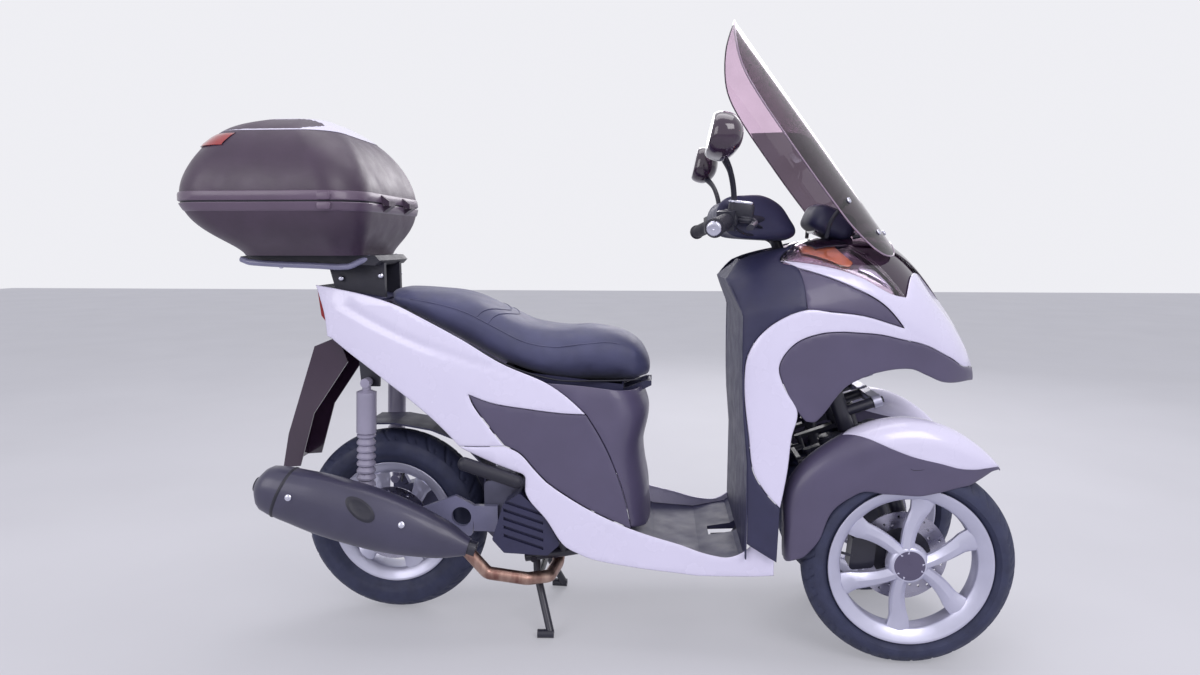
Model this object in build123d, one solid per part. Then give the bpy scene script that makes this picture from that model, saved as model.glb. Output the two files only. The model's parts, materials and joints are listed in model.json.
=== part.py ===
from build123d import *

from functools import lru_cache
import math
import os

# Millimetres throughout. X runs forward from the rear axle, Y to the left, Z up from the floor.

# Chassis
WHEELBASE = 1310
FRONT_TRACK = 385
CASTER = 20
TRAIL = 68
REAR_LIFT = 5
KINGPIN_HALF = 115
LINK_HEIGHT = 600
LEAN_LIMIT = 63.5
STEER_LIMIT = 35

# Fits
RUN_GAP = 0.3
PIN_GAP = 0.5
OPEN_PIVOT_GAP = 2
PANEL = 3
WALL = 4

# Wheels
FRONT_TYRE_R = 250
FRONT_TYRE_W = 90
FRONT_SEAT_R = 177.8
FRONT_RIM_W = 72
REAR_TYRE_R = 251.5
REAR_TYRE_W = 110
REAR_SEAT_R = 152.4
REAR_RIM_W = 84
FLANGE_H = 15
FLANGE_T = 5
WELL_DEPTH = 13
RIM_WALL = 6
HUB_R = 34
HUB_CAP_R = 48
SPOKE_PAIRS = 3
SPOKE_SPREAD = 32
SPOKE_ROOT = 14
FRONT_SPOKE_PHASE = 112
REAR_SPOKE_PHASE = 20
AXLE_R = 10
DISC_R = 110
DISC_T = 4
DISC_INSET = 42

# Front linkage, along and across the steering axis
PIVOT_UP = 75
PIVOT_LOW = -6
SIDE_ROD_R = 20
SIDE_ROD_TOP = 95
SIDE_ROD_FOOT = -45
STEM_R = 11
HEAD_R = 22
SHAFT_R = 14
FORK_TUBE_R = 16.5
FORK_TUBE_AT = 54
SLIDER_R = 20
SLIDER_TOP = -190
YOKE_T = 24
YOKE_END_R = 20
ARM_AT = 80
ARM_T = 20
ARM_HALF_H = 13
EYE_R = 16
BOSS_R = 13
PIN_R = 8
TRACK_ARM = 105
TRACK_ROD_R = 7
TRACK_ROD_T = 10
TRACK_ROD_BACK = 31
TRACK_LEVEL = -62
TRACK_DROP = 28
TRACK_ARM_T = 10
BALL_R = 8
STUD_R = 5

# Rear and stands
RAIL_R = 12
CROSS_R = 9
RAIL_CROSS = (300, 560)
TAIL_CROSS = (-104, 808)
LAMP_PLATE_X = (-127, -122)
PLATE_TOP = (-186, 740)
PLATE_FOOT = (-268, 504)
PLATE_WALL = 4
PLATE_HOLE_Z = 540
PLATE_HOLE_Y = 57
PLATE_HOLE_R = 3.3
STAND_PIVOT = (395, 0, 195)
STAND_LEG_R = 11
STAND_HALF_TOP = 66
STAND_HALF_KNEE = 78
STAND_HALF_FOOT = 150
STAND_FOOT_X = 48
STAND_FOLD = 80
SIDE_STAND_PIVOT = (470, 178, 205)
SIDE_STAND_LEN = 170
SIDE_STAND_R = 9
SIDE_STAND_SWING = 95
SHOCK_Y = 118
SHOCK_TOP = (-30, 655)
SHOCK_LOW = (-44, 330)
SHOCK_EYE_R = 11
SHOCK_PIN_HALF = 13.7
SPRING_TURNS = 8
ARM_OUTER_Y = 104
ARM_PLATE_T = 14
PEG_R = 17
PEG_Y = 185
PEG_FRONT = (366, 424)
PEG_REAR = (236, 466)

# Seat, bin and box
SEAT_HINGE = (690, 0, 650)
SEAT_HALF_W = 150
SEAT_OPEN = 62
BIN_X = (RAIL_CROSS[0] + CROSS_R + RUN_GAP, 625)
BIN_Z = (450, 655)
BIN_HALF_W = 100
BOX_HALF_W = 262
BOX_WALL = 5
LID_HINGE = (36, 0, 1106)
LID_OPEN = 90
BOX_SPLIT = 1106
SCREEN_T = 4
SCREEN_HALF_W = 188
SCREEN_RADIUS = 245

C = math.cos(math.radians(CASTER))
S = math.sin(math.radians(CASTER))
T = math.tan(math.radians(CASTER))
REAR_AXLE = (0, 0, REAR_TYRE_R + REAR_LIFT)
FRONT_AXLE = (WHEELBASE, FRONT_TRACK / 2, FRONT_TYRE_R)
KINGPIN_GROUND_X = WHEELBASE + TRAIL
LINK_X = KINGPIN_GROUND_X - LINK_HEIGHT * T
SIDES = (("right", -1), ("left", 1))

# The overall box is centred on the origin, from the back of the top box to the tip of the front tyres.
REAR_END = -447
FRONT_END = WHEELBASE + FRONT_TYRE_R
ORIGIN_X = (REAR_END + FRONT_END) / 2


def rake(d, y, s):
    """A point from its place on the raked frame: d ahead of the steering axis, s up along it."""
    return (LINK_X + d * C - s * S, y, LINK_HEIGHT + d * S + s * C)


def rake_plane(d, y, s):
    """A plane across the steering axis, local x ahead, local y to the left."""
    return Plane(origin=rake(d, y, s), x_dir=(C, 0, S), z_dir=(-S, 0, C))


def lean_plane(d, y, s):
    """A plane across the lean axis, local x to the left, local y up along the steering axis."""
    return Plane(origin=rake(d, y, s), x_dir=(0, 1, 0), z_dir=(C, 0, S))


def rake_rod(radius, d, y, s0, s1):
    return extrude(rake_plane(d, y, s0) * Circle(radius), s1 - s0)


def lean_rod(radius, y, s, d0, d1):
    return extrude(lean_plane(d0, y, s) * Circle(radius), d1 - d0)


def cross_rod(radius, x, y0, y1, z):
    """A round bar along Y from y0 up to y1."""
    return extrude(Plane.XZ.offset(-y1) * (Pos(x, z) * Circle(radius)), y1 - y0)


def outline(points, radius=0):
    wire = FilletPolyline(*points, radius=radius, close=True) if radius else Polyline(*points, close=True)
    return make_face(wire)


def side_prism(points, y0, y1, radius=0):
    """A side-view outline of (x, z) points, carried from y0 to y1."""
    return extrude(Plane.XZ.offset(-y1) * outline(points, radius), y1 - y0)


def plan_prism(points, z0, z1, radius=0):
    return extrude(Plane.XY.offset(z0) * outline(points, radius), z1 - z0)


def front_prism(points, x0, x1, radius=0):
    """A front-view outline of (y, z) points, carried from x0 to x1."""
    return extrude(Plane.YZ.offset(x0) * outline(points, radius), x1 - x0)


def block(x0, x1, y0, y1, z0, z1):
    return Pos((x0 + x1) / 2, (y0 + y1) / 2, (z0 + z1) / 2) * Box(x1 - x0, y1 - y0, z1 - z0)


def tube_path(points, radius, bend):
    """A round bar along straight runs joined by arcs."""
    path = FilletPolyline(*points, radius=bend) if len(points) > 2 else Line(*points)
    start = Plane(origin=path @ 0, z_dir=path % 0)
    return sweep(start * Circle(radius), path=path)


def arch(half_foot, half, foot, shoulder, crown):
    """Half-round shell section: a floor line, two sides and a ridged roof of two arcs."""
    mid = (0.75 * half, shoulder + 0.68 * (crown - shoulder))
    floor = Line((-half_foot, foot), (half_foot, foot))
    left = Line((half_foot, foot), (half, shoulder))
    left_roof = ThreePointArc((half, shoulder), mid, (0, crown))
    right_roof = ThreePointArc((0, crown), (-mid[0], mid[1]), (-half, shoulder))
    right = Line((-half, shoulder), (-half_foot, foot))
    return make_face([floor, left, left_roof, right_roof, right])


# Front body sections: x, half width at the foot, half width at the shoulder, shoulder height, crown height
FRONT_SECTIONS = (
    (860, 200, 190, 830, 945),
    (940, 246, 222, 852, 978),
    (1050, 252, 230, 862, 1004),
    (1180, 214, 212, 850, 1024),
    (1290, 164, 180, 808, 1004),
    (1400, 120, 136, 744, 880),
    (1465, 76, 90, 704, 782),
    (1502, 36, 44, 672, 706),
)
FRONT_FOOT = 240


@lru_cache(maxsize=None)
def front_hull(inset):
    faces = []
    last = FRONT_SECTIONS[-1][0]
    for x, half_foot, half, shoulder, crown in FRONT_SECTIONS:
        at = x - inset if x == last else x
        face = arch(half_foot - inset, half - inset, FRONT_FOOT - inset, shoulder, crown - inset)
        faces.append(Plane.YZ.offset(at) * face)
    return loft(faces)


# Rear body sections: x, half width low down, in the middle and at the seat
REAR_SECTIONS = (
    (-190, 55, 76, 66),
    (0, 100, 132, 116),
    (250, 168, 172, 136),
    (450, 196, 176, 124),
    (640, 205, 172, 112),
    (820, 212, 186, 120),
    (1005, 238, 232, 200),
)
REAR_LOW = 190
REAR_MID = 540
REAR_HIGH = 930


@lru_cache(maxsize=None)
def rear_hull(inset):
    faces = []
    for x, low, mid, high in REAR_SECTIONS:
        floor = Line((-low + inset, REAR_LOW), (low - inset, REAR_LOW))
        left = ThreePointArc((low - inset, REAR_LOW), (mid - inset, REAR_MID), (high - inset, REAR_HIGH))
        roof = Line((high - inset, REAR_HIGH), (-high + inset, REAR_HIGH))
        right = ThreePointArc((-high + inset, REAR_HIGH), (-mid + inset, REAR_MID), (-low + inset, REAR_LOW))
        faces.append(Plane.YZ.offset(x) * make_face([floor, left, roof, right]))
    return loft(faces)


# Side-view outlines of the panels, as (x, z)
LENS_LINE = (
    (998, 968), (1040, 1000), (1085, 1040), (1160, 1012), (1235, 948), (1290, 880), (1255, 890),
    (1180, 932), (1090, 958),
)
INSERT_LINE = ((1035, 952), (1159, 906), (1236, 866), (1284, 812), (1185, 840), (1050, 856))
LOWER_COWL_LINE = (
    (1053, 599), (987, 721), (1004, 757), (1085, 806), (1178, 804), (1284, 784), (1407, 740),
    (1463, 712), (1520, 706), (1520, 640), (1489, 662), (1446, 672), (1395, 675), (1308, 713),
    (1225, 709), (1141, 673), (1067, 583),
)
BAND_LINE = (
    (998, 968), (1090, 958), (1160, 1060), (1300, 1040), (1520, 860), (1520, 706), (1463, 712),
    (1407, 740), (1284, 784), (1178, 804), (1085, 806), (1004, 757), (987, 721), (1053, 599),
    (1019, 500), (999, 393), (935, 472), (922, 583), (913, 687), (917, 746), (954, 800), (1050, 858),
    (1035, 952),
)
SHIELD_SIDE_LINE = (
    (872, 923), (905, 990), (1100, 1060), (1110, 900), (1045, 700), (1053, 599), (1019, 500),
    (999, 393), (999, 258), (924, 300), (922, 492), (912, 600), (909, 700), (909, 839),
)
SHIELD_REAR_LINE = (
    (872, 923), (918, 968), (921, 963), (877, 921), (912, 838), (912, 700), (915, 600), (925, 492),
    (925, 262), (922, 262), (922, 492), (912, 600), (909, 700), (909, 839),
)
RIDGE_PLAN = ((1040, 0), (1085, 118), (1200, 104), (1290, 84))
LAMP_PLAN = ((1290, 84), (1400, 60), (1460, 48))

TAIL_LINE = (
    (-175, 902), (-26, 879), (107, 832), (227, 773), (328, 713), (439, 673), (537, 591), (393, 603),
    (307, 616), (245, 637), (273, 587), (316, 535), (335, 512), (215, 508), (195, 530), (100, 610),
    (-20, 693), (-129, 766), (-143, 747), (-146, 821),
)
SKIRT_LINE = (
    (215, 508), (335, 512), (375, 496), (445, 418), (522, 371), (638, 318), (768, 282), (816, 263),
    (884, 255), (915, 272), (955, 314), (993, 336), (991, 218), (818, 205), (770, 210), (567, 229),
    (481, 267), (387, 395), (388, 440), (232, 498),
)
SIDE_COVER_LINE = (
    (245, 637), (307, 616), (393, 603), (537, 591), (600, 480), (652, 328), (445, 426), (375, 496),
    (335, 512), (316, 535), (273, 587),
)
SEAT_FRONT_LINE = (
    (537, 591), (439, 673), (455, 662), (672, 640), (690, 583), (676, 499), (689, 391), (700, 303),
    (652, 328), (600, 480),
)
SEAT_LINE = (
    (20, 895), (120, 890), (211, 878), (295, 841), (379, 804), (463, 790), (546, 796), (613, 789),
    (663, 764), (696, 706), (697, 668), (640, 666), (460, 678), (345, 716), (232, 778), (110, 838), (22, 866),
)


def rim_section(seat_r, width):
    """Half section of a rim barrel as (radius, across): flanges, bead seats and a drop centre."""
    half = width / 2
    flange = seat_r + FLANGE_H
    well = seat_r - WELL_DEPTH
    side = (
        (well, 6), (seat_r, 14), (seat_r, half - FLANGE_T - 1.5), (flange, half - FLANGE_T), (flange, half),
        (flange - 6, half), (seat_r - 5, half - 8), (well - RIM_WALL, 12),
    )
    return list(side) + [(r, -z) for r, z in reversed(side)]


def rim(seat_r, width, hub_half, phase):
    """A cast wheel of rounded spoke pairs. Local z is the axle, towards the outer side."""
    half = width / 2
    barrel = revolve(Plane.XZ * outline(rim_section(seat_r, width)), Axis.Z)
    hub = extrude(Plane.XY.offset(-hub_half) * Circle(HUB_R), 2 * hub_half)
    cap_line = (
        (0, 0), (HUB_CAP_R + 6, 0), (HUB_CAP_R, half - 14), (HUB_CAP_R - 12, half - 6), (0, half - 6),
    )
    body = barrel + hub + revolve(Plane.XZ * outline(cap_line), Axis.Z)
    reach = seat_r - WELL_DEPTH - 1.5
    slim = outline(((-11, -9), (11, -9), (7, 9), (0, 13), (-7, 9)))
    wide = outline(((-19, -9), (19, -9), (14, 8), (0, 14), (-14, 8)))
    for pair in range(SPOKE_PAIRS):
        for lean_to in (-1, 1):
            centre = phase + pair * 360 / SPOKE_PAIRS
            tip = math.radians(centre + lean_to * SPOKE_SPREAD)
            root = math.radians(centre + lean_to * SPOKE_ROOT)
            a = Vector(math.cos(root), math.sin(root), 0) * (HUB_R + 2)
            b = Vector(math.cos(tip), math.sin(tip), 0) * reach
            along = (b - a).normalized()
            across = Vector(0, 0, 1).cross(along)
            near = Plane(origin=(a.X, a.Y, half - 26), x_dir=across, z_dir=along)
            far = Plane(origin=(b.X, b.Y, half - 30), x_dir=across, z_dir=along)
            body += loft([near * slim, far * wide])
    return body - extrude(Plane.XY.offset(-width) * Circle(AXLE_R + RUN_GAP), 2 * width)


def disc(offset, outer, inner, holes):
    face = Circle(outer) - Circle(inner)
    for ring, shift in ((outer - 12, 0), (outer - 26, 0.5)):
        for n in range(holes):
            angle = math.radians((n + shift) * 360 / holes)
            face -= Pos(ring * math.cos(angle), ring * math.sin(angle)) * Circle(4)
    plate = extrude(Plane.XY.offset(offset - DISC_T / 2) * face, DISC_T)
    web = Circle(inner + 8) - Circle(AXLE_R + RUN_GAP)
    carrier = extrude(Plane.XY.offset(offset - DISC_T / 2) * web, 8)
    return plate + carrier


def tyre(radius, width, seat_r, rim_w):
    """A plain closed tyre body, its beads seated between the flanges. Local z is the axle."""
    half = width / 2
    bead = seat_r + RUN_GAP
    heel = rim_w / 2 - FLANGE_T - 1.5 - RUN_GAP
    neck = (seat_r + FLANGE_H + 1, heel + 1)
    belly = (neck[0] + 0.55 * (radius - 28 - neck[0]), half)
    edge = (radius - 26, half * 0.88)
    profile = make_face([
        Line((bead, -heel), (bead, heel)),
        Line((bead, heel), neck),
        ThreePointArc(neck, belly, edge),
        ThreePointArc(edge, (radius, 0), (edge[0], -edge[1])),
        ThreePointArc((edge[0], -edge[1]), (belly[0], -belly[1]), (neck[0], -neck[1])),
        Line((neck[0], -neck[1]), (bead, -heel)),
    ])
    return revolve(Plane.XZ * profile, Axis.Z)


def wheel_plane(centre, side):
    """The plane of a wheel, its normal pointing to the outer side."""
    return Plane(origin=centre, x_dir=(side * -1, 0, 0), z_dir=(0, side, 0))


def front_wheel(side):
    centre = (FRONT_AXLE[0], side * FRONT_AXLE[1], FRONT_AXLE[2])
    plane = wheel_plane(centre, side)
    wheel = rim(FRONT_SEAT_R, FRONT_RIM_W, 34, FRONT_SPOKE_PHASE) + disc(-DISC_INSET + 4, DISC_R, 60, 18)
    rubber = tyre(FRONT_TYRE_R, FRONT_TYRE_W, FRONT_SEAT_R, FRONT_RIM_W)
    return plane.location * wheel, plane.location * rubber


def rear_wheel():
    plane = wheel_plane(REAR_AXLE, -1)
    wheel = rim(REAR_SEAT_R, REAR_RIM_W, 44, REAR_SPOKE_PHASE) + disc(44, 100, 54, 16)
    rubber = tyre(REAR_TYRE_R, REAR_TYRE_W, REAR_SEAT_R, REAR_RIM_W)
    return plane.location * wheel, plane.location * rubber


def side_rod(side):
    y = side * KINGPIN_HALF
    rod = rake_rod(SIDE_ROD_R, 0, y, SIDE_ROD_FOOT, SIDE_ROD_TOP)
    for s in (PIVOT_UP, PIVOT_LOW):
        rod += lean_rod(BOSS_R, y, s, 0, ARM_AT - RUN_GAP)
        rod += lean_rod(PIN_R, y, s, 0, ARM_AT + ARM_T + 6)
    return rod - rake_rod(STEM_R + RUN_GAP, 0, y, SIDE_ROD_FOOT - 5, SIDE_ROD_TOP + 5)


def lean_arm(s, end_gap):
    plane = lean_plane(ARM_AT, 0, s)
    beam = Rectangle(2 * KINGPIN_HALF, 2 * ARM_HALF_H)
    for y in (-KINGPIN_HALF, 0, KINGPIN_HALF):
        beam += Pos(y, 0) * Circle(EYE_R)
    for y in (-KINGPIN_HALF, KINGPIN_HALF):
        beam -= Pos(y, 0) * Circle(PIN_R + end_gap)
    beam -= Circle(PIN_R + RUN_GAP)
    for y in (-KINGPIN_HALF / 2, KINGPIN_HALF / 2):
        beam -= Pos(y, 0) * SlotOverall(52, 11)
    return extrude(plane * beam, ARM_T)


def fork(side):
    """Stem, tandem yoke, two tubes with their sliders, the axle carrier, the axle and the steering arm."""
    y = side * KINGPIN_HALF
    yoke_top = SIDE_ROD_FOOT - 5
    yoke_foot = yoke_top - YOKE_T
    plate = Rectangle(2 * FORK_TUBE_AT, 28)
    for d in (-FORK_TUBE_AT, FORK_TUBE_AT):
        plate += Pos(d, 0) * Circle(YOKE_END_R)
    body = extrude(rake_plane(0, y, yoke_foot) * plate, YOKE_T)
    body += rake_rod(STEM_R, 0, y, yoke_top, SIDE_ROD_TOP + 14)
    body += rake_rod(STEM_R + 5, 0, y, SIDE_ROD_TOP + RUN_GAP, SIDE_ROD_TOP + 12)
    foot = (FRONT_AXLE[2] - LINK_HEIGHT) / C
    for d in (-FORK_TUBE_AT, FORK_TUBE_AT):
        body += rake_rod(FORK_TUBE_R, d, y, SLIDER_TOP - 20, yoke_top + 4)
        body += rake_rod(SLIDER_R, d, y, foot - 24, SLIDER_TOP)
        body += rake_rod(SLIDER_R + 3, d, y, SLIDER_TOP, SLIDER_TOP + 10)
    carrier = Rectangle(2 * FORK_TUBE_AT, 30)
    body += extrude(rake_plane(0, y, foot - 22) * carrier, 44)
    hub_face = side * (FRONT_AXLE[1] - DISC_INSET - 2)
    y0, y1 = sorted((y, hub_face))
    body += cross_rod(26, FRONT_AXLE[0], y0, y1, FRONT_AXLE[2])
    y0, y1 = sorted((y, side * (FRONT_AXLE[1] + 26)))
    body += cross_rod(AXLE_R, FRONT_AXLE[0], y0, y1, FRONT_AXLE[2])
    arm = outline(((-TRACK_ARM, -9), (-40, -13), (-40, 13), (-TRACK_ARM, 9)))
    arm += Pos(-TRACK_ARM, 0) * Circle(11)
    body += extrude(rake_plane(0, y, yoke_foot) * arm, TRACK_ARM_T)
    ball_s = TRACK_LEVEL - TRACK_DROP
    body += rake_rod(STUD_R, -TRACK_ARM, y, ball_s, yoke_foot)
    body += Pos(*rake(-TRACK_ARM, y, ball_s)) * Sphere(BALL_R)
    return body + caliper(side)


def caliper(side):
    """The brake caliper behind the hub, over the inner disc."""
    x = FRONT_AXLE[0] - 92
    z = FRONT_AXLE[2] + 8
    disc_y = FRONT_AXLE[1] - DISC_INSET + 4
    shell = ((x - 38, z - 42), (x + 22, z - 34), (x + 26, z + 36), (x - 30, z + 46))
    body = side_prism(shell, disc_y - 22, disc_y + 20, 10)
    slot = ((x - 26, z - 80), (x + 90, z - 80), (x + 90, z + 80), (x - 26, z + 80))
    body -= side_prism(slot, disc_y - 5, disc_y + 5)
    root = FRONT_AXLE[0] - 40
    bridge = ((x - 20, z - 14), (root, z - 18), (root, z + 18), (x - 20, z + 14))
    body += side_prism(bridge, KINGPIN_HALF - 8, disc_y - 6)
    return body if side > 0 else mirror(body, Plane.XZ)


# Mudguard sections round the wheel: angle from straight ahead, crown radius, shoulder radius, half width
FENDER_SECTIONS = (
    (47, 307, 296, 9),
    (60, 321, 288, 36),
    (80, 344, 292, 50),
    (97, 355, 296, 52),
    (122, 350, 298, 50),
    (146, 347, 304, 40),
    (165, 300, 290, 38),
    (184, 288, 277, 36),
)
FENDER_Y = 196.5
FENDER_FOOT_R = 150
FENDER_EDGE = (
    (1139, 640), (1540, 640), (1540, 470), (1495, 485), (1446, 457), (1403, 446), (1307, 428),
    (1239, 437), (1173, 437), (1125, 389), (1098, 314), (1054, 268), (985, 258), (970, 449),
    (1040, 560),
)
FENDER_T = 3


def fender_form(inset):
    faces = []
    for angle, crown, shoulder, half in FENDER_SECTIONS:
        a = math.radians(angle)
        radial = Vector(math.cos(a), 0, math.sin(a))
        origin = (FRONT_AXLE[0], FENDER_Y, FRONT_AXLE[2])
        plane = Plane(origin=origin, x_dir=(0, 1, 0), z_dir=(-math.sin(a), 0, math.cos(a)))
        flip = 1 if plane.y_dir.dot(radial) > 0 else -1
        width = half - inset
        mid = (0.7 * width, (shoulder + 0.72 * (crown - inset - shoulder)) * flip)
        low, high, top = FENDER_FOOT_R * flip, shoulder * flip, (crown - inset) * flip
        face = make_face([
            Line((-width, low), (width, low)),
            Line((width, low), (width, high)),
            ThreePointArc((width, high), mid, (0, top)),
            ThreePointArc((0, top), (-mid[0], mid[1]), (-width, high)),
            Line((-width, high), (-width, low)),
        ])
        faces.append(plane * face)
    return loft(faces)


def fender(side):
    """Front mudguard: an arched shell round the wheel, with a pointed nose and a flap at the rear."""
    shell = (fender_form(0) & side_prism(FENDER_EDGE, 100, 300)) - fender_form(FENDER_T)
    shell -= block(960, 1560, 100, FENDER_Y - 30, 200, 505)
    middle = FRONT_AXLE[1]
    room = FRONT_TYRE_W / 2 + 6
    shell -= cross_rod(FRONT_TYRE_R + 8, FRONT_AXLE[0], middle - room, middle + room, FRONT_AXLE[2])
    for d in (-FORK_TUBE_AT, FORK_TUBE_AT):
        x, _, z = rake(d, 0, SIDE_ROD_FOOT - 5 - YOKE_T / 2)
        lug = cross_rod(9, x, KINGPIN_HALF + YOKE_END_R + RUN_GAP, FENDER_Y - 47, z)
        shell += lug - cross_rod(4, x, 100, 160, z)
    return shell if side > 0 else mirror(shell, Plane.XZ)


def bar_points():
    x, _, z = rake(0, 0, 495)
    half = [(x, 70, z), (868, 205, 1062), (829, 352, 1041)]
    return [(px, -py, pz) for px, py, pz in reversed(half)] + half


@lru_cache(maxsize=None)
def handlebar():
    """Steering shaft, clamp, bar, grips, levers and the arm that works the track rod."""
    arm_foot = TRACK_LEVEL - 6
    body = rake_rod(SHAFT_R, 0, 0, arm_foot, 505)
    arm = outline(((-TRACK_ARM, -9), (0, -14), (0, 14), (-TRACK_ARM, 9)))
    arm += Pos(-TRACK_ARM, 0) * Circle(11)
    body += extrude(rake_plane(0, 0, arm_foot) * arm, TRACK_ARM_T)
    body += rake_rod(24, 0, 0, 470, 512)
    body += tube_path(bar_points(), 11, 40)
    for side in (-1, 1):
        grip = Line((829, side * 352, 1041), (862, side * 228, 1058.5))
        start = Plane(origin=grip @ 0, z_dir=grip % 0)
        body += sweep(start * Circle(17), path=grip)
        pod = Plane(origin=(864.5, side * 218, 1060), x_dir=(0, 0, 1), z_dir=(grip % 0))
        body += extrude(pod * Rectangle(44, 40), 18, both=True)
        lever = [(884, side * 214, 1062), (925, side * 240, 1056), (900, side * 340, 1040)]
        body += tube_path(lever, 5, 20)
    return body


def track_stud():
    """The stud under the steering arm, with the pin that the track rod rocks on."""
    d = -TRACK_ARM
    s = TRACK_LEVEL - TRACK_DROP
    face = d - TRACK_ROD_BACK + TRACK_ROD_T
    body = rake_rod(TRACK_ROD_R, d, 0, s - TRACK_ROD_R, TRACK_LEVEL - 6 - RUN_GAP)
    body += lean_rod(9, 0, s, face + RUN_GAP, d)
    body += lean_rod(STUD_R, 0, s, face - TRACK_ROD_T - 7, d)
    return body + lean_rod(9, 0, s, face - TRACK_ROD_T - 6, face - TRACK_ROD_T - RUN_GAP)


def track_rod():
    """The rod that steers both forks, with a housing at each end for its ball."""
    d = -TRACK_ARM
    s = TRACK_LEVEL - TRACK_DROP
    beam = Rectangle(2 * KINGPIN_HALF, 2 * TRACK_ROD_R)
    for y in (-KINGPIN_HALF, 0, KINGPIN_HALF):
        beam += Pos(y, 0) * Circle(11)
    body = extrude(lean_plane(d - TRACK_ROD_BACK, 0, s) * beam, TRACK_ROD_T)
    for y in (-KINGPIN_HALF, KINGPIN_HALF):
        body += lean_rod(6, y, s, d - TRACK_ROD_BACK, d - BALL_R - RUN_GAP)
    return body - lean_rod(STUD_R + RUN_GAP, 0, s, d - 60, d)


def frame_tubes():
    """Head pipe with its lean pivots, neck, down beam, floor rails, engine hangers and seat rails."""
    body = rake_rod(HEAD_R, 0, 0, SIDE_ROD_FOOT, SIDE_ROD_TOP)
    for s in (PIVOT_UP, PIVOT_LOW):
        body += lean_rod(BOSS_R, 0, s, 0, ARM_AT - RUN_GAP)
        body += lean_rod(PIN_R, 0, s, 0, ARM_AT + ARM_T + 6)
    low = rake(-10, 0, 67)
    high = rake(-10, 0, 95)
    neck = (
        (low[0], low[2]), (high[0], high[2]), (985, 722), (922, 706), (922, 646), (1000, 652), (1066, 650),
    )
    body += side_prism(neck, -16, 16)
    beam = (
        (921, 700), (956, 700), (949, 640), (943, 560), (943, 240), (926, 196), (860, 190), (860, 222),
        (914, 226), (928, 250), (928, 492), (921, 600),
    )
    body += side_prism(beam, -30, 30)
    body += tube_path([(870, 0, 206), (690, 0, 206)], 16, 0)
    for side in (-1, 1):
        rail = [
            (715, side * 6, 206), (640, side * 88, 210), (556, side * 104, 296),
            (RAIL_CROSS[0], side * 118, RAIL_CROSS[1]), (-60, side * 78, 800), (-125, side * 66, 812),
        ]
        body += tube_path(rail, RAIL_R, 40)
        lower = [(612, side * 96, 238), (480, side * 104, 214), (372, side * 104, 196)]
        body += tube_path(lower, RAIL_R, 40)
        body += tube_path([(474, side * 104, 214), (432, side * 110, 428)], 11, 0)
        y0, y1 = sorted((side * 84, side * 92))
        body += side_prism(((-64, 790), (0, 752), (-6, 640), (-54, 640)), y0, y1)
        y0, y1 = sorted((side * 84, side * (SHOCK_Y - SHOCK_EYE_R - RUN_GAP)))
        body += cross_rod(CROSS_R, SHOCK_TOP[0], y0, y1, SHOCK_TOP[1])
        y0, y1 = sorted((side * 108, side * 120))
        x, z = PEG_FRONT
        body += side_prism(((x - 14, 520), (x + 26, 480), (x + 14, z - 10), (x - 14, z - 10)), y0, y1)
    foot = ((456, 192), (488, 192), (488, 220), (456, 220))
    body += side_prism(foot, 100, SIDE_STAND_PIVOT[1] - 26 - RUN_GAP)
    for x, z, half in ((*TAIL_CROSS, 66), (556, 296, 104), (*RAIL_CROSS, 118)):
        body += cross_rod(CROSS_R, x, -half, half, z)
    body += block(*LAMP_PLATE_X, -70, 70, 796, 850)
    body -= rake_rod(SHAFT_R + RUN_GAP, 0, 0, SIDE_ROD_FOOT - 5, SIDE_ROD_TOP + 5)
    return body - cross_rod(8 + PIN_GAP, STAND_PIVOT[0], -130, 130, STAND_PIVOT[2])


def centre_stand():
    """Two splayed legs on a cross tube, with curled feet and a brace."""
    px, _, pz = STAND_PIVOT
    body = cross_rod(8, px, -118, 118, pz)
    foot_z = STAND_LEG_R
    for side in (-1, 1):
        hip = (px, side * STAND_HALF_TOP, pz)
        knee = (px + 4, side * STAND_HALF_KNEE, pz - 60)
        foot = (px + STAND_FOOT_X, side * STAND_HALF_FOOT, foot_z)
        heel = (px + STAND_FOOT_X - 34, side * (STAND_HALF_FOOT + 2), foot_z)
        body += tube_path([hip, knee, foot], STAND_LEG_R - 1, 30)
        body += tube_path([(foot[0] + 8, foot[1], foot_z), heel], STAND_LEG_R, 0)
    brace = STAND_HALF_KNEE + 8
    return body + tube_path([(px + 5, -brace, pz - 74), (px + 5, brace, pz - 74)], 9, 0)


def peg_bracket(side):
    """The rounded bracket of the rear footrest, on a rod from the frame."""
    front = (PEG_FRONT[0], side * PEG_Y, PEG_FRONT[1])
    rear = (PEG_REAR[0], side * PEG_Y, PEG_REAR[1])
    body = tube_path([rear, front], PEG_R, 0)
    for end in (front, rear):
        body += Pos(*end) * Sphere(PEG_R)
    y0, y1 = sorted((side * (120 + RUN_GAP), side * PEG_Y))
    return body + cross_rod(8, PEG_FRONT[0], y0, y1, PEG_FRONT[1])


def side_stand():
    px, py, pz = SIDE_STAND_PIVOT
    body = cross_rod(7, px, py - 26, py + 12, pz)
    body += tube_path([(px, py + 4, pz), (px - SIDE_STAND_LEN, py + 14, pz + 10)], SIDE_STAND_R, 0)
    x = px - SIDE_STAND_LEN
    foot = ((x - 18, pz - 8), (x + 10, pz - 6), (x + 10, pz + 20), (x - 18, pz + 34))
    return body + side_prism(foot, py + 6, py + 26, 4)


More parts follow.
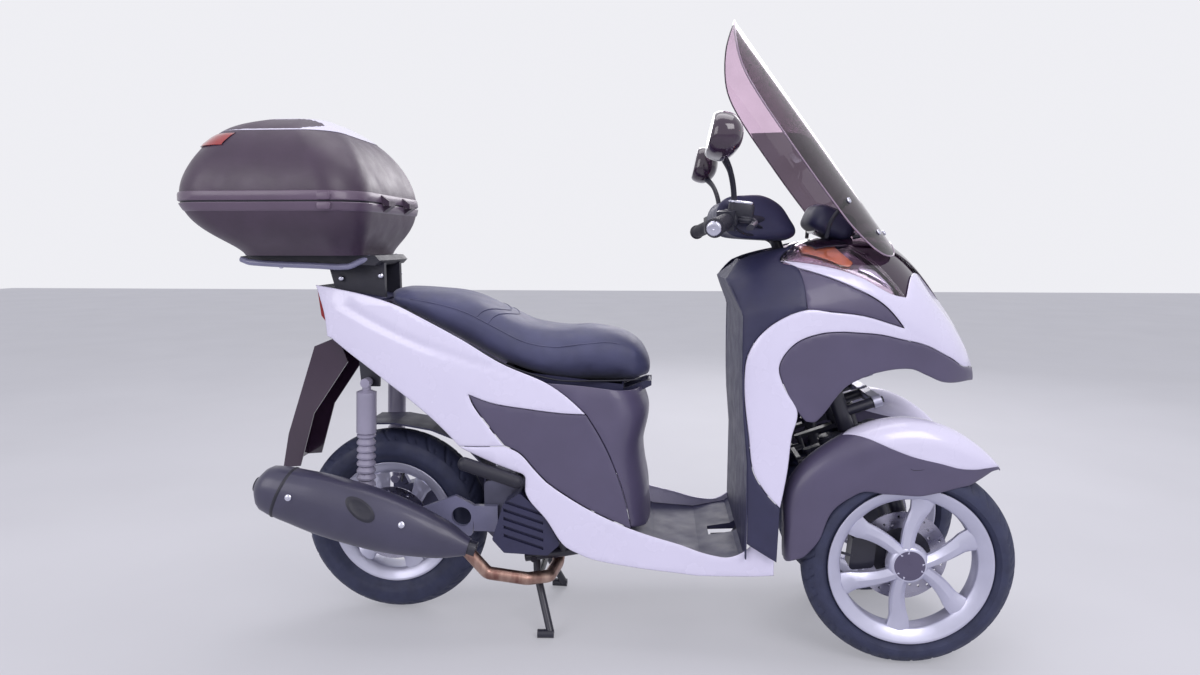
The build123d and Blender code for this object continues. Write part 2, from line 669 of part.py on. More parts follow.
def panel_family():
    """Front skin panels, cut from one hull so that their edges meet."""
    skin = front_hull(0) - front_hull(PANEL)
    lens = side_prism(LENS_LINE, -260, 260)
    insert = side_prism(INSERT_LINE, -260, 260, 6)
    lower = side_prism(LOWER_COWL_LINE, -260, 260)
    band = side_prism(BAND_LINE, -260, 260)
    shield = side_prism(SHIELD_SIDE_LINE, -260, 260)
    ridge_half = [(x, y) for x, y in RIDGE_PLAN]
    ridge = plan_prism(ridge_half + [(x, -y) for x, y in reversed(ridge_half[1:])], 700, 1100)
    lamp_half = [(x, y) for x, y in LAMP_PLAN]
    lamp = plan_prism(lamp_half + [(x, -y) for x, y in reversed(lamp_half)], 700, 1100)
    centre = skin & ridge
    lens_skin = (skin & lens) - ridge - lamp
    parts = {}
    parts["lower_cowl"] = skin & lower
    parts["headlamp"] = (skin & lamp) - lower
    parts["front_cowl"] = centre - lower
    parts["front_lamps"] = lens_skin - lower
    parts["cowl_inserts"] = (skin & insert) - ridge - lamp
    parts["side_bands"] = (skin & band) - ridge - lamp - lens - insert - lower
    parts["leg_shield"] = (skin & shield) - ridge - lens - insert - lower - band - steering_well()
    return parts


def steering_well():
    """The room that the bar cover turns in, above the leg shield."""
    return rake_rod(112, 0, 0, 340, 620)


def leg_shield_wall():
    wall = side_prism(SHIELD_REAR_LINE, -260, 260)
    return wall & front_hull(PANEL + RUN_GAP)


def rear_panels():
    skin = rear_hull(0) - rear_hull(PANEL)
    parts = {}
    tail = side_prism(TAIL_LINE, -260, 260)
    skirt = side_prism(SKIRT_LINE, -260, 260)
    cover = side_prism(SIDE_COVER_LINE, -260, 260)
    front = side_prism(SEAT_FRONT_LINE, -260, 260)
    parts["tail_panels"] = skin & tail
    parts["side_skirts"] = (skin & skirt) - tail - side_prism(SHIELD_REAR_LINE, -260, 260)
    parts["side_covers"] = (skin & cover) - tail - skirt
    sides = (skin & front) - tail - cover - skirt
    ahead = ((672, 640), (690, 583), (676, 499), (689, 391), (700, 303))
    nose = side_prism(ahead + tuple((x - PANEL, z) for x, z in reversed(ahead)), -200, 200)
    parts["seat_front_cover"] = sides + (nose & rear_hull(PANEL - 0.5)) - seat_bin()
    return parts


@lru_cache(maxsize=None)
def seat_bin():
    """The open storage bin under the seat."""
    x0, x1 = BIN_X
    z0, z1 = BIN_Z
    line = ((x0, z1 + 36), (x0, z0 + 60), (x0 + 60, z0), (x1 - 30, z0), (x1, z0 + 60), (x1, z1))
    outer = side_prism(line, -BIN_HALF_W, BIN_HALF_W)
    inner_line = (
        (x0 + WALL, z1 + 60), (x0 + WALL, z0 + 62), (x0 + 62, z0 + WALL), (x1 - 32, z0 + WALL),
        (x1 - WALL, z0 + 62), (x1 - WALL, z1 + 60),
    )
    shell = outer - side_prism(inner_line, -BIN_HALF_W + WALL, BIN_HALF_W - WALL)
    hx, _, hz = SEAT_HINGE
    hinge = cross_rod(5, hx, -46, 46, hz)
    ear = (
        (x1 - 2, 600), (x1 + 40, 628), (hx + 6, hz - 6), (hx + 6, hz + 6), (hx - 8, hz + 6), (x1 - 2, 634),
    )
    for y in (-46, 34):
        hinge += side_prism(ear, y, y + 12)
    return shell + hinge


def seat():
    body = side_prism(SEAT_LINE, -SEAT_HALF_W, SEAT_HALF_W)
    plan = ((15, 92), (90, 128), (230, 140), (380, 140), (520, 120), (650, 92), (700, 60))
    form = body & plan_prism(list(plan) + [(x, -y) for x, y in reversed(plan)], 600, 950, 12)
    hx, _, hz = SEAT_HINGE
    form -= cross_rod(22, hx, -60, 60, hz)
    form += cross_rod(11, hx, -30, 30, hz) - cross_rod(5 + PIN_GAP, hx, -31, 31, hz)
    form += block(hx - 34, hx - 5.6, -30, 30, hz + 6, hz + 30)
    return form


# Top case sections: height, rear end, front end, half width, corner radius
CASE_SECTIONS = (
    (978, -330, -30, 165, 60),
    (1030, -390, -2, 222, 80),
    (1106, -447, 20, 261, 95),
    (1200, -426, -4, 246, 95),
    (1272, -376, -62, 196, 85),
    (1312, -290, -120, 120, 60),
)
CASE_SEAM = 3


def case_form(inset):
    faces = []
    last = len(CASE_SECTIONS) - 1
    for n, (z, rear, front, half, corner) in enumerate(CASE_SECTIONS):
        level = z + inset if n == 0 else z - inset if n == last else z
        length = front - rear - 2 * inset
        face = RectangleRounded(length, 2 * (half - inset), corner - inset)
        faces.append(Plane.XY.offset(level) * Pos((front + rear) / 2, 0) * face)
    return loft(faces)


def top_case():
    """Base and lid of the top box, hinged on the rider's side."""
    shell = case_form(0) - case_form(BOX_WALL)
    base = shell & block(-600, 200, -400, 400, 800, BOX_SPLIT - CASE_SEAM / 2)
    lid = shell & block(-600, 200, -400, 400, BOX_SPLIT + CASE_SEAM / 2, 1500)
    hx, _, hz = LID_HINGE
    for y in (-96, 66):
        ear = (
            (12, hz - 26), (hx + 6, hz - 6), (hx + 6, hz + 6), (hx - 6, hz + 6), (hx - 8, hz - 6),
            (12, hz - 10),
        )
        base += side_prism(ear, y, y + 30)
        base += cross_rod(4, hx, y - 16, y + 30, hz)
        strap = ((11, hz + 8), (hx - 6, hz - 5), (hx + 6, hz - 6), (hx + 6, hz + 6), (11, hz + 28))
        lid += side_prism(strap, y - 16, y - 1) - cross_rod(4 + PIN_GAP, hx, y - 17, y, hz)
    return base, lid


@lru_cache(maxsize=None)
def muffler():
    """An oval silencer rising to the rear, lofted along its axis."""
    a = Vector(-286, -205, 408)
    b = Vector(244, -196, 256)
    along = (b - a).normalized()
    across = Vector(0, 1, 0)
    # share of the length, half height, half width
    stations = ((0.0, 34, 34), (0.05, 58, 46), (0.35, 78, 54), (0.62, 74, 52), (0.88, 48, 38), (1.0, 22, 22))
    faces = []
    for share, high, wide in stations:
        plane = Plane(origin=a + (b - a) * share, x_dir=across, z_dir=along)
        faces.append(plane * Ellipse(wide, high))
    return loft(faces)


def exhaust_pipe():
    path = [
        (228, -196, 262), (290, -190, 188), (390, -182, 172), (440, -140, 162), (452, -50, 162),
        (452, -24, 225),
    ]
    return tube_path(path, 16, 26) - engine_block() - muffler()


@lru_cache(maxsize=None)
def engine_block():
    line = ((262, 262), (310, 214), (455, 214), (520, 262), (505, 338), (390, 400), (262, 392))
    return side_prism(line, -88, 88, 14) + cross_rod(13, 453, -95.6, 95.6, 320)


def transmission_case():
    line = (
        (-52, 238), (10, 206), (300, 206), (380, 222), (405, 280), (360, 350), (240, 372), (60, 330), (-30, 306),
    )
    body = side_prism(line, 120, 168, 26)
    body += block(268, 350, 88, 121, 250, 350)
    x, _, z = REAR_AXLE
    body += cross_rod(30, x, 66, 121, z)
    lug = ((-58, 290), (-58, 346), (-30, 346), (0, 290))
    body += side_prism(lug, SHOCK_Y + SHOCK_PIN_HALF + RUN_GAP, 150)
    return body - cross_rod(AXLE_R + RUN_GAP, x, 40, 118, z)


def radiator_cover():
    line = ((300, 270), (330, 362), (371, 392), (430, 340), (472, 262), (440, 232), (330, 236))
    body = side_prism(line, -178, -120, 8)
    body += block(332, 404, -121, -88, 262, 350)
    for n in range(5):
        z = 262 + n * 22
        body -= side_prism(((330, z + 16), (430, z - 16), (430, z - 8), (330, z + 24)), -190, -170)
    return body


def swingarm():
    """The alloy arm on the right side, from the engine to the axle, with its round window."""
    line = (
        (178, 240), (232, 250), (240, 330), (190, 356), (60, 306), (-6, 318), (-26, 346), (-58, 346),
        (-58, 318), (-40, 262), (-34, 240), (-6, 226), (60, 238),
    )
    inner = -ARM_OUTER_Y + ARM_PLATE_T
    body = side_prism(line, -ARM_OUTER_Y, inner, 8)
    body -= cross_rod(26, 204, -120, -80, 300)
    x, _, z = REAR_AXLE
    body += cross_rod(AXLE_R, x, -112, 110, z)
    body += cross_rod(20, x, -ARM_OUTER_Y, -66, z)
    return body + block(236, 300, -ARM_OUTER_Y, -88, 262, 330)


def rear_shock(side):
    """Damper, spring and top can, turned about the line between its eyes."""
    low = Vector(SHOCK_LOW[0], side * SHOCK_Y, SHOCK_LOW[1])
    top = Vector(SHOCK_TOP[0], side * SHOCK_Y, SHOCK_TOP[1])
    length = (top - low).length
    spring_foot = 46
    spring_top = 0.60 * length
    pitch = (spring_top - spring_foot) / SPRING_TURNS
    line = [(0, 0), (SHOCK_EYE_R, 0), (SHOCK_EYE_R, spring_foot - 8), (24, spring_foot - 8), (24, spring_foot)]
    for n in range(SPRING_TURNS):
        foot = spring_foot + n * pitch
        line += [(18, foot + 0.15 * pitch), (24, foot + 0.45 * pitch), (24, foot + 0.7 * pitch)]
    line += [(18, spring_top - 1), (25, spring_top), (25, spring_top + 106), (SHOCK_EYE_R, spring_top + 112)]
    line += [(SHOCK_EYE_R, length), (0, length)]
    axis = Plane(origin=low, x_dir=(0, 1, 0), z_dir=(top - low).normalized())
    body = axis.location * revolve(Plane.XZ * outline(line), Axis.Z)
    y0, y1 = sorted((side * (SHOCK_Y - SHOCK_PIN_HALF), side * (SHOCK_Y + SHOCK_PIN_HALF)))
    body += cross_rod(12, SHOCK_LOW[0], y0, y1, SHOCK_LOW[1])
    y0, y1 = sorted((side * (SHOCK_Y - 11), side * (SHOCK_Y + 14)))
    return body + cross_rod(12, SHOCK_TOP[0], y0, y1, SHOCK_TOP[1])


def tail_cover():
    """The lid of the tail behind the seat, which carries the box carrier."""
    line = ((-172, 899), (-26, 876), (14, 869), (14, 864), (-26, 871), (-170, 893))
    return side_prism(line, -120, 120) & rear_hull(PANEL)


def tail_lamp():
    face = LAMP_PLATE_X[0] - RUN_GAP
    line = ((-176, 892), (-140, 884), (face, 850), (face, 796), (-146, 790), (-168, 820))
    return side_prism(line, -58, 58, 4)


def plate_normal():
    """Unit direction out of the plate holder's flat face, to the rear and up."""
    rise = PLATE_TOP[1] - PLATE_FOOT[1]
    run = PLATE_TOP[0] - PLATE_FOOT[0]
    length = math.hypot(rise, run)
    return (-rise / length, 0, run / length)


def plate_hole_at(y):
    """The centre of a plate screw's hole on the outer face."""
    share = (PLATE_HOLE_Z - PLATE_FOOT[1]) / (PLATE_TOP[1] - PLATE_FOOT[1])
    return (PLATE_FOOT[0] + share * (PLATE_TOP[0] - PLATE_FOOT[0]), y, PLATE_HOLE_Z)


def rear_fender():
    """The rear mudguard, a hollow channel down to the plate holder, hung from the tail of the frame."""
    nx, _, nz = plate_normal()
    wx, wz = -PLATE_WALL * nx, -PLATE_WALL * nz
    outer = (PLATE_TOP, (-122, 766), (-98, 700), (-196, 560), (-240, 416), (-287, 412), PLATE_FOOT)
    inner_top = (PLATE_TOP[0] + wx, PLATE_TOP[1] + wz - 10)
    inner_foot = (PLATE_FOOT[0] + wx, PLATE_FOOT[1] + wz)
    inner = (inner_top, (-116, 752), (-60, 700), (-192, 540), (-236, 400), (-282, 390), inner_foot)
    body = side_prism(outer, -68, 68) - side_prism(inner, -64, 64)
    top = TAIL_CROSS[1] - CROSS_R - RUN_GAP
    body += side_prism(((-150, 752), (-118, 764), (-94, 770), (-94, top), (-114, top), (-150, 768)), -30, 30)
    for y in (-PLATE_HOLE_Y, PLATE_HOLE_Y):
        hole = Plane(origin=plate_hole_at(y), z_dir=plate_normal())
        body -= extrude(hole * Circle(PLATE_HOLE_R), 12, both=True)
    return body


def rear_hugger():
    """The inner mudguard over the tyre, fastened to the back of the engine."""
    x = 262 - RUN_GAP
    outer = ((x, 425), (200, 492), (120, 522), (20, 538), (-60, 536))
    inner = ((-60, 532), (20, 534), (118, 518), (197, 488), (x - 4, 423))
    return side_prism(((x, 372), *outer, *inner, (x - 4, 372)), -66, 66)


def top_box_carrier():
    top = CASE_SECTIONS[0][0] - RUN_GAP
    plate = ((-350, top - 3), (-330, top - 15), (0, top - 25), (12, top - 13), (0, top), (-330, top))
    body = side_prism(plate, -110, 110)
    body -= block(-300, -40, -70, 70, 900, 1000)
    for side in (-1, 1):
        leg = ((-120, 880), (8, 860), (8, 958), (-140, 958))
        body += side_prism(leg, side * 60 - 8, side * 60 + 8)
    under = ((-200, 899.3), (-172, 899.3), (-26, 876.3), (14, 869.3), (30, 800), (-200, 800))
    return body - side_prism(under, -200, 200)


def footboard():
    top = (
        (640, 262), (700, 240), (820, 230), (925, 236), (927, 240), (925, 261.7), (912, 252), (820, 236),
        (704, 246), (646, 268),
    )
    deck = side_prism(top, -240, 240) & rear_hull(PANEL + RUN_GAP)
    return deck - block(850, 970, -31, 31, 190, 290)


def windscreen():
    """A tall curved sheet, leaning back from the cowl."""
    base = Vector(1305, 0, 984)
    tip = Vector(888, 0, 1552)
    along = (tip - base).normalized()
    plane = Plane(origin=base, x_dir=(0, 1, 0), z_dir=along)
    ring = Circle(SCREEN_RADIUS) - Circle(SCREEN_RADIUS - SCREEN_T)
    ahead = 1 if plane.y_dir.X > 0 else -1
    front_half = Pos(0, ahead * SCREEN_RADIUS / 2) * Rectangle(2 * SCREEN_RADIUS, SCREEN_RADIUS)
    arc = Pos(0, -ahead * SCREEN_RADIUS) * (ring & front_half)
    sheet = extrude(plane * arc, (tip - base).length)
    side = SCREEN_HALF_W
    face = (
        (-150, 960), (150, 960), (side, 1080), (side, 1470), (158, 1522), (60, 1560), (-60, 1560),
        (-158, 1522), (-side, 1470), (-side, 1080),
    )
    return (sheet & front_prism(face, 700, 1400)) - front_hull(0)


def bar_cover():
    """The moulded cover round the bar clamp, open at the ends for the bar."""
    line = (
        (846, 1086), (880, 1114), (960, 1126), (1020, 1090), (1048, 1030), (1000, 1012), (930, 1030),
        (868, 1040),
    )
    inner = (
        (850, 1084), (882, 1110), (959, 1122), (1016, 1088), (1042, 1032), (1000, 1017), (930, 1035),
        (871, 1044),
    )
    plan = ((840, 165), (900, 160), (980, 110), (1060, 70))
    edge = list(plan) + [(x, -y) for x, y in reversed(plan)]
    inset = [(840, 161), (898, 156), (977, 106), (1056, 66)]
    hollow = inset + [(x, -y) for x, y in reversed(inset)]
    body = side_prism(line, -165, 165, 10) & plan_prism(edge, 960, 1160)
    body -= side_prism(inner, -161, 161, 7) & plan_prism(hollow, 960, 1160)
    return body - handlebar_core(1.0)


def handlebar_core(gap):
    """The room that the shaft, clamp and bar take inside the cover."""
    core = rake_rod(SHAFT_R + gap, 0, 0, 380, 505) + rake_rod(24 + gap, 0, 0, 470, 512)
    return core + tube_path(bar_points(), 11 + gap, 40)


def mirror_pair():
    body = None
    for side in (-1, 1):
        stem = tube_path([(880, side * 205, 1078), (880, side * 230, 1150), (846, side * 300, 1215)], 6, 30)
        shape = ((812, 1190), (846, 1180), (868, 1215), (862, 1268), (830, 1280), (812, 1262))
        head = side_prism(shape, 262, 398, 12)
        head = head if side > 0 else mirror(head, Plane.XZ)
        piece = stem + head
        body = piece if body is None else body + piece
    return body - handlebar()


def instrument_panel():
    line = ((1078, 1020), (1088, 1052), (1180, 1100), (1200, 1060), (1170, 1024))
    return side_prism(line, -95, 95, 8) - front_hull(0)


def write(name, shape):
    moved = Pos(-ORIGIN_X, 0, 0) * shape
    moved.label = name
    export_step(moved, f"parts/{name}.step")


def group(shapes):
    return Compound(children=list(shapes))


def main():
    os.makedirs("parts", exist_ok=True)
    nodes = {}
    nodes["frame_tubes"] = frame_tubes()
    nodes["engine_block"] = engine_block()
    nodes["transmission_case"] = transmission_case()
    nodes["radiator_cover"] = radiator_cover()
    nodes["swingarm"] = swingarm()
    nodes["exhaust_pipe"] = exhaust_pipe()
    nodes["muffler"] = muffler()
    nodes["rear_shocks"] = group([rear_shock(-1), rear_shock(1)])
    nodes["peg_brackets"] = group([peg_bracket(-1), peg_bracket(1)])
    nodes.update(panel_family())
    nodes["leg_shield_wall"] = leg_shield_wall()
    nodes.update(rear_panels())
    nodes["footboard"] = footboard()
    nodes["seat_bin"] = seat_bin()
    nodes["seat"] = seat()
    nodes["top_box_base"], nodes["top_box_lid"] = top_case()
    nodes["tail_cover"] = tail_cover()
    nodes["tail_lamp"] = tail_lamp()
    nodes["rear_fender"] = rear_fender()
    nodes["rear_hugger"] = rear_hugger()
    nodes["top_box_carrier"] = top_box_carrier()
    nodes["windscreen"] = windscreen()
    nodes["instrument_panel"] = instrument_panel()
    nodes["handlebar"] = handlebar()
    nodes["bar_cover"] = bar_cover()
    nodes["mirrors"] = mirror_pair()
    nodes["upper_arm"] = lean_arm(PIVOT_UP, PIN_GAP)
    nodes["lower_arm"] = lean_arm(PIVOT_LOW, OPEN_PIVOT_GAP)
    nodes["track_stud"] = track_stud()
    nodes["track_rod"] = track_rod()
    for name, side in SIDES:
        nodes[f"side_rod_{name}"] = side_rod(side)
        nodes[f"fork_{name}"] = fork(side)
        nodes[f"fender_{name}"] = fender(side)
        nodes[f"front_rim_{name}"], nodes[f"front_tyre_{name}"] = front_wheel(side)
    nodes["rear_rim"], nodes["rear_tyre"] = rear_wheel()
    nodes["centre_stand"] = centre_stand()
    nodes["side_stand"] = side_stand()
    for name, shape in nodes.items():
        write(name, shape)


if __name__ == "__main__":
    main()
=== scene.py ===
import json
import math

import bmesh
import bpy
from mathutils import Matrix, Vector
from mathutils.bvhtree import BVHTree
from mathutils.geometry import delaunay_2d_cdt

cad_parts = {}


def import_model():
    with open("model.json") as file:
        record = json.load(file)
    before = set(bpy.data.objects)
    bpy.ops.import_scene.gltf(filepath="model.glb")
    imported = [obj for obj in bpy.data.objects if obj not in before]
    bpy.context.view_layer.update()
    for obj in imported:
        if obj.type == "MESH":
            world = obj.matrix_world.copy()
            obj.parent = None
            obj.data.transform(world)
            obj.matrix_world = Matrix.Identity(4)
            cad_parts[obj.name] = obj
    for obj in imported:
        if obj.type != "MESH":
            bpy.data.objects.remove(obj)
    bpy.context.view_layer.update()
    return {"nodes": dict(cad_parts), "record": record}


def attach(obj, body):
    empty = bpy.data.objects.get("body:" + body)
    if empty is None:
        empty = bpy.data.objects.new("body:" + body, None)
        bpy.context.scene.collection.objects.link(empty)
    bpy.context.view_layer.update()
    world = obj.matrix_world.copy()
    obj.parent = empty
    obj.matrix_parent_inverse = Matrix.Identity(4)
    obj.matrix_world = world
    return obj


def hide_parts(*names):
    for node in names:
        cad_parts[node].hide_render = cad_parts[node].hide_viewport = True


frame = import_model()

# Lengths in the tables are millimetres: x ahead of the rear axle, y to the left, z above the floor.
MM = 0.001
ORIGIN_X = 556.5
SIDES = (("right", -1), ("left", 1))


def at(x, y, z):
    return Vector(((x - ORIGIN_X) * MM, y * MM, z * MM))


def srgb(r, g, b):
    """A linear colour from 0-255 display values."""
    def linear(v):
        v /= 255
        return v / 12.92 if v <= 0.04045 else ((v + 0.055) / 1.055) ** 2.4
    return (linear(r), linear(g), linear(b), 1)


# Materials


class Finish:
    """A procedural material: its colour drifts, its gloss varies and its surface has a fine grain."""

    def __init__(self, name):
        self.material = bpy.data.materials.new(name)
        self.material.use_nodes = True
        self.tree = self.material.node_tree
        self.shader = self.tree.nodes["Principled BSDF"]
        self.place = self.tree.nodes.new("ShaderNodeTexCoord").outputs["Object"]
        self.height = None

    def node(self, kind, **values):
        made = self.tree.nodes.new(kind)
        for key, value in values.items():
            if key in made.inputs:
                made.inputs[key].default_value = value
            else:
                setattr(made, key, value)
        return made

    def link(self, a, b):
        self.tree.links.new(a, b)

    def noise(self, scale, detail=3.0, stretch=None):
        made = self.node("ShaderNodeTexNoise", Scale=scale, Detail=detail)
        source = self.place
        if stretch:
            mapping = self.node("ShaderNodeMapping", Scale=stretch)
            self.link(source, mapping.inputs["Vector"])
            source = mapping.outputs["Vector"]
        self.link(source, made.inputs["Vector"])
        return made.outputs["Fac"]

    def cells(self, scale):
        made = self.node("ShaderNodeTexVoronoi", Scale=scale)
        self.link(self.place, made.inputs["Vector"])
        return made.outputs["Distance"]

    def ramp(self, factor, low, high, dark, light):
        made = self.tree.nodes.new("ShaderNodeValToRGB")
        made.color_ramp.elements[0].position = low
        made.color_ramp.elements[0].color = dark
        made.color_ramp.elements[1].position = high
        made.color_ramp.elements[1].color = light
        self.link(factor, made.inputs["Fac"])
        return made.outputs["Color"]

    def colour(self, base, drift, scale):
        dark = tuple(v * (1 - drift) for v in base[:3]) + (1,)
        light = tuple(min(1, v * (1 + drift)) for v in base[:3]) + (1,)
        drifting = self.ramp(self.noise(scale, 4), 0.35, 0.65, dark, light)
        self.link(drifting, self.shader.inputs["Base Color"])
        return self

    def gloss(self, low, high, scale):
        spread = self.node("ShaderNodeMapRange")
        spread.inputs["From Min"].default_value = 0.3
        spread.inputs["From Max"].default_value = 0.7
        spread.inputs["To Min"].default_value = low
        spread.inputs["To Max"].default_value = high
        self.link(self.noise(scale), spread.inputs["Value"])
        self.link(spread.outputs["Result"], self.shader.inputs["Roughness"])
        return self

    def grain(self, source, strength, depth):
        bump = self.node("ShaderNodeBump", Strength=strength, Distance=depth * MM)
        self.link(source, bump.inputs["Height"])
        if self.height:
            self.link(self.height, bump.inputs["Normal"])
        self.height = bump.outputs["Normal"]
        self.link(self.height, self.shader.inputs["Normal"])
        return self

    def fixed(self, **values):
        for key, value in values.items():
            self.shader.inputs[key.replace("_", " ")].default_value = value
        return self


def paint(name, rgb, drift=0.03, low=0.2, high=0.32, coat=0.6):
    made = Finish(name).colour(srgb(*rgb), drift, 9).gloss(low, high, 14)
    made.grain(made.noise(900), 0.03, 0.1)
    return made.fixed(Coat_Weight=coat, Coat_Roughness=0.08).material


def plastic(name, rgb, low=0.42, high=0.58, drift=0.08, grain=0.25, scale=1500):
    made = Finish(name).colour(srgb(*rgb), drift, 16).gloss(low, high, 22)
    return made.grain(made.cells(scale), grain, 0.25).material


def metal(name, rgb, low=0.25, high=0.4, drift=0.08, grain=0.08, scale=700):
    made = Finish(name).colour(srgb(*rgb), drift, 30).gloss(low, high, 60).fixed(Metallic=1.0)
    return made.grain(made.noise(scale), grain, 0.2).material


def glass(name, rgb, rough=0.03, ior=1.45):
    made = Finish(name).colour(srgb(*rgb), 0.05, 12).gloss(rough, rough + 0.04, 20)
    return made.fixed(Transmission_Weight=1.0, IOR=ior, Coat_Weight=1.0, Coat_Roughness=0.03).material


def seat_vinyl():
    made = Finish("seat_vinyl").colour(srgb(66, 68, 100), 0.1, 20).gloss(0.46, 0.6, 30)
    made.grain(made.cells(420), 0.35, 0.5)
    made.grain(made.noise(1600), 0.2, 0.2)
    return made.fixed(Sheen_Weight=0.15).material


def tyre_rubber():
    made = Finish("tyre_rubber").colour(srgb(48, 52, 78), 0.14, 24).gloss(0.55, 0.75, 40)
    made.grain(made.noise(300), 0.2, 0.4)
    return made.material


def alloy_paint():
    made = Finish("alloy_paint").colour(srgb(196, 196, 216), 0.04, 16).gloss(0.28, 0.4, 30)
    made.grain(made.noise(1100), 0.08, 0.15)
    return made.fixed(Metallic=0.55, Coat_Weight=0.3).material


def heat_steel():
    made = Finish("heat_steel").fixed(Metallic=1.0).gloss(0.28, 0.48, 50)
    tint = made.ramp(made.noise(14, 5, (2.5, 1, 1)), 0.3, 0.7, srgb(120, 82, 76), srgb(200, 172, 158))
    made.link(tint, made.shader.inputs["Base Color"])
    return made.grain(made.noise(400), 0.12, 0.3).material


WHITE = paint("white_paint", (222, 218, 240), 0.008, 0.22, 0.3)
DARK = paint("dark_satin", (84, 78, 104), 0.06, 0.36, 0.48, 0.15)
MAROON = paint("dark_gloss", (52, 34, 54), 0.1, 0.12, 0.22, 0.7)
NAVY = plastic("navy_plastic", (44, 44, 74))
CASE_SHELL = plastic("case_plastic", (66, 52, 70), 0.34, 0.48, 0.1, 0.3, 900)
BLACK = plastic("black_plastic", (30, 30, 44))
STEEL = paint("frame_steel", (38, 38, 52), 0.1, 0.34, 0.5, 0.2)
SEAT = seat_vinyl()
RUBBER = tyre_rubber()
ALLOY = alloy_paint()
ENGINE = metal("engine_alloy", (104, 104, 122), 0.4, 0.58, 0.15, 0.3, 260)
CHROME = metal("bright_steel", (206, 206, 222), 0.14, 0.26)
DISC = metal("disc_steel", (168, 166, 182), 0.22, 0.36)
MUFFLER = paint("muffler_paint", (64, 62, 84), 0.1, 0.34, 0.48, 0.2)
PIPE = heat_steel()
CLEAR = glass("clear_lens", (250, 240, 248), 0.02, 1.08)
ORANGE = paint("amber_lens", (196, 120, 84), 0.1, 0.1, 0.2)
RED = paint("red_lens", (150, 22, 30), 0.15, 0.12, 0.24)
SMOKE = glass("smoked_screen", (110, 96, 108), 0.02, 1.03)
SCREEN_FACE = paint("display_face", (24, 28, 34), 0.1, 0.06, 0.12, 0.9)
SCREEN_RIM = paint("screen_rim", (150, 128, 150), 0.06, 0.1, 0.2)
CASE_TRIM = paint("case_trim", (96, 80, 100), 0.08, 0.32, 0.44, 0.2)
CARRIER = paint("carrier_paint", (128, 128, 156), 0.08, 0.3, 0.4, 0.3)
REFLECTOR = metal("lamp_bowl", (222, 214, 226), 0.08, 0.2)
SHOCK = paint("shock_paint", (150, 146, 166), 0.08, 0.25, 0.4, 0.3)
GLASS_BACK = metal("mirror_face", (200, 196, 206), 0.03, 0.06, 0.03, 0.0)

SLOT_FINISH = {
    "frame_steel": STEEL, "white_panel": WHITE, "dark_panel": DARK, "navy_plastic": NAVY,
    "seat_cover": SEAT, "alloy": ALLOY, "engine_alloy": ENGINE, "tyre": RUBBER, "muffler": MUFFLER,
    "pipe": PIPE, "lens": CLEAR, "red_lens": RED, "smoked": SMOKE, "case": CASE_SHELL,
}
# Nodes whose finish differs from the rest of their slot
NODE_FINISH = {
    "headlamp": MAROON, "front_cowl": MAROON, "rear_fender": MAROON, "top_box_carrier": BLACK,
    "peg_brackets": BLACK, "swingarm": CARRIER, "rear_shocks": SHOCK,
}


def dress_cad():
    """Every CAD node takes its own finish or that of its slot."""
    for part in frame["record"]["subparts"]:
        node = frame["nodes"][part["node"]]
        finish = SLOT_FINISH[part["material_slot"]]
        for slot in node.material_slots:
            slot.material = NODE_FINISH.get(part["node"], finish)


# Mesh helpers


def add(name, mesh, finish, body, slot, replaced=(), angle=35):
    """A new piece that rides on a body and may stand for CAD nodes."""
    for polygon in mesh.polygons:
        polygon.use_smooth = True
    piece = bpy.data.objects.new(name, mesh)
    bpy.context.scene.collection.objects.link(piece)
    mesh.materials.append(finish)
    if angle:
        mesh.set_sharp_from_angle(angle=math.radians(angle))
    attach(piece, body)
    if replaced:
        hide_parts(*replaced)
    return piece


def mesh_of(name, verts, faces):
    mesh = bpy.data.meshes.new(name)
    mesh.from_pydata([tuple(v) for v in verts], [], faces)
    mesh.update()
    return mesh


def solid(piece, thickness):
    made = piece.modifiers.new("wall", "SOLIDIFY")
    made.thickness = thickness * MM
    made.offset = -1
    return piece


def bevel(piece, width, segments=2):
    made = piece.modifiers.new("edge", "BEVEL")
    made.width = width * MM
    made.segments = segments
    made.limit_method = "ANGLE"
    return piece


def subdivide(piece, levels=2):
    made = piece.modifiers.new("smooth", "SUBSURF")
    made.levels = levels
    made.render_levels = levels
    return piece


def join(meshes, name):
    """One mesh from several (verts, faces) pairs."""
    verts, faces = [], []
    for some_verts, some_faces in meshes:
        base = len(verts)
        verts += list(some_verts)
        faces += [tuple(base + i for i in face) for face in some_faces]
    return mesh_of(name, verts, faces)


def ring_surface(rings, caps=True):
    """Quads between closed rings of equal length; each end may be closed by one face."""
    count = len(rings[0])
    verts = [v for ring in rings for v in ring]
    faces = []
    for n in range(len(rings) - 1):
        for i in range(count):
            j = (i + 1) % count
            faces.append((n * count + i, n * count + j, (n + 1) * count + j, (n + 1) * count + i))
    if caps:
        faces.append(tuple(reversed(range(count))))
        faces.append(tuple((len(rings) - 1) * count + i for i in range(count)))
    return verts, faces


def round_faces(steps, count):
    """Quads of a form that closes both round its axis and round its section."""
    faces = []
    for n in range(steps):
        m = (n + 1) % steps
        for i in range(count):
            j = (i + 1) % count
            faces.append((n * count + i, n * count + j, m * count + j, m * count + i))
    return faces


def lathe(profile, centre, axis, steps=64):
    """A turned form: profile points are (radius, along) in mm about a centre given in metres."""
    axis = Vector(axis).normalized()
    side = axis.orthogonal().normalized()
    other = axis.cross(side)
    verts = []
    for n in range(steps):
        angle = 2 * math.pi * n / steps
        out = side * math.cos(angle) + other * math.sin(angle)
        verts += [centre + (out * r + axis * z) * MM for r, z in profile]
    return verts, round_faces(steps, len(profile))


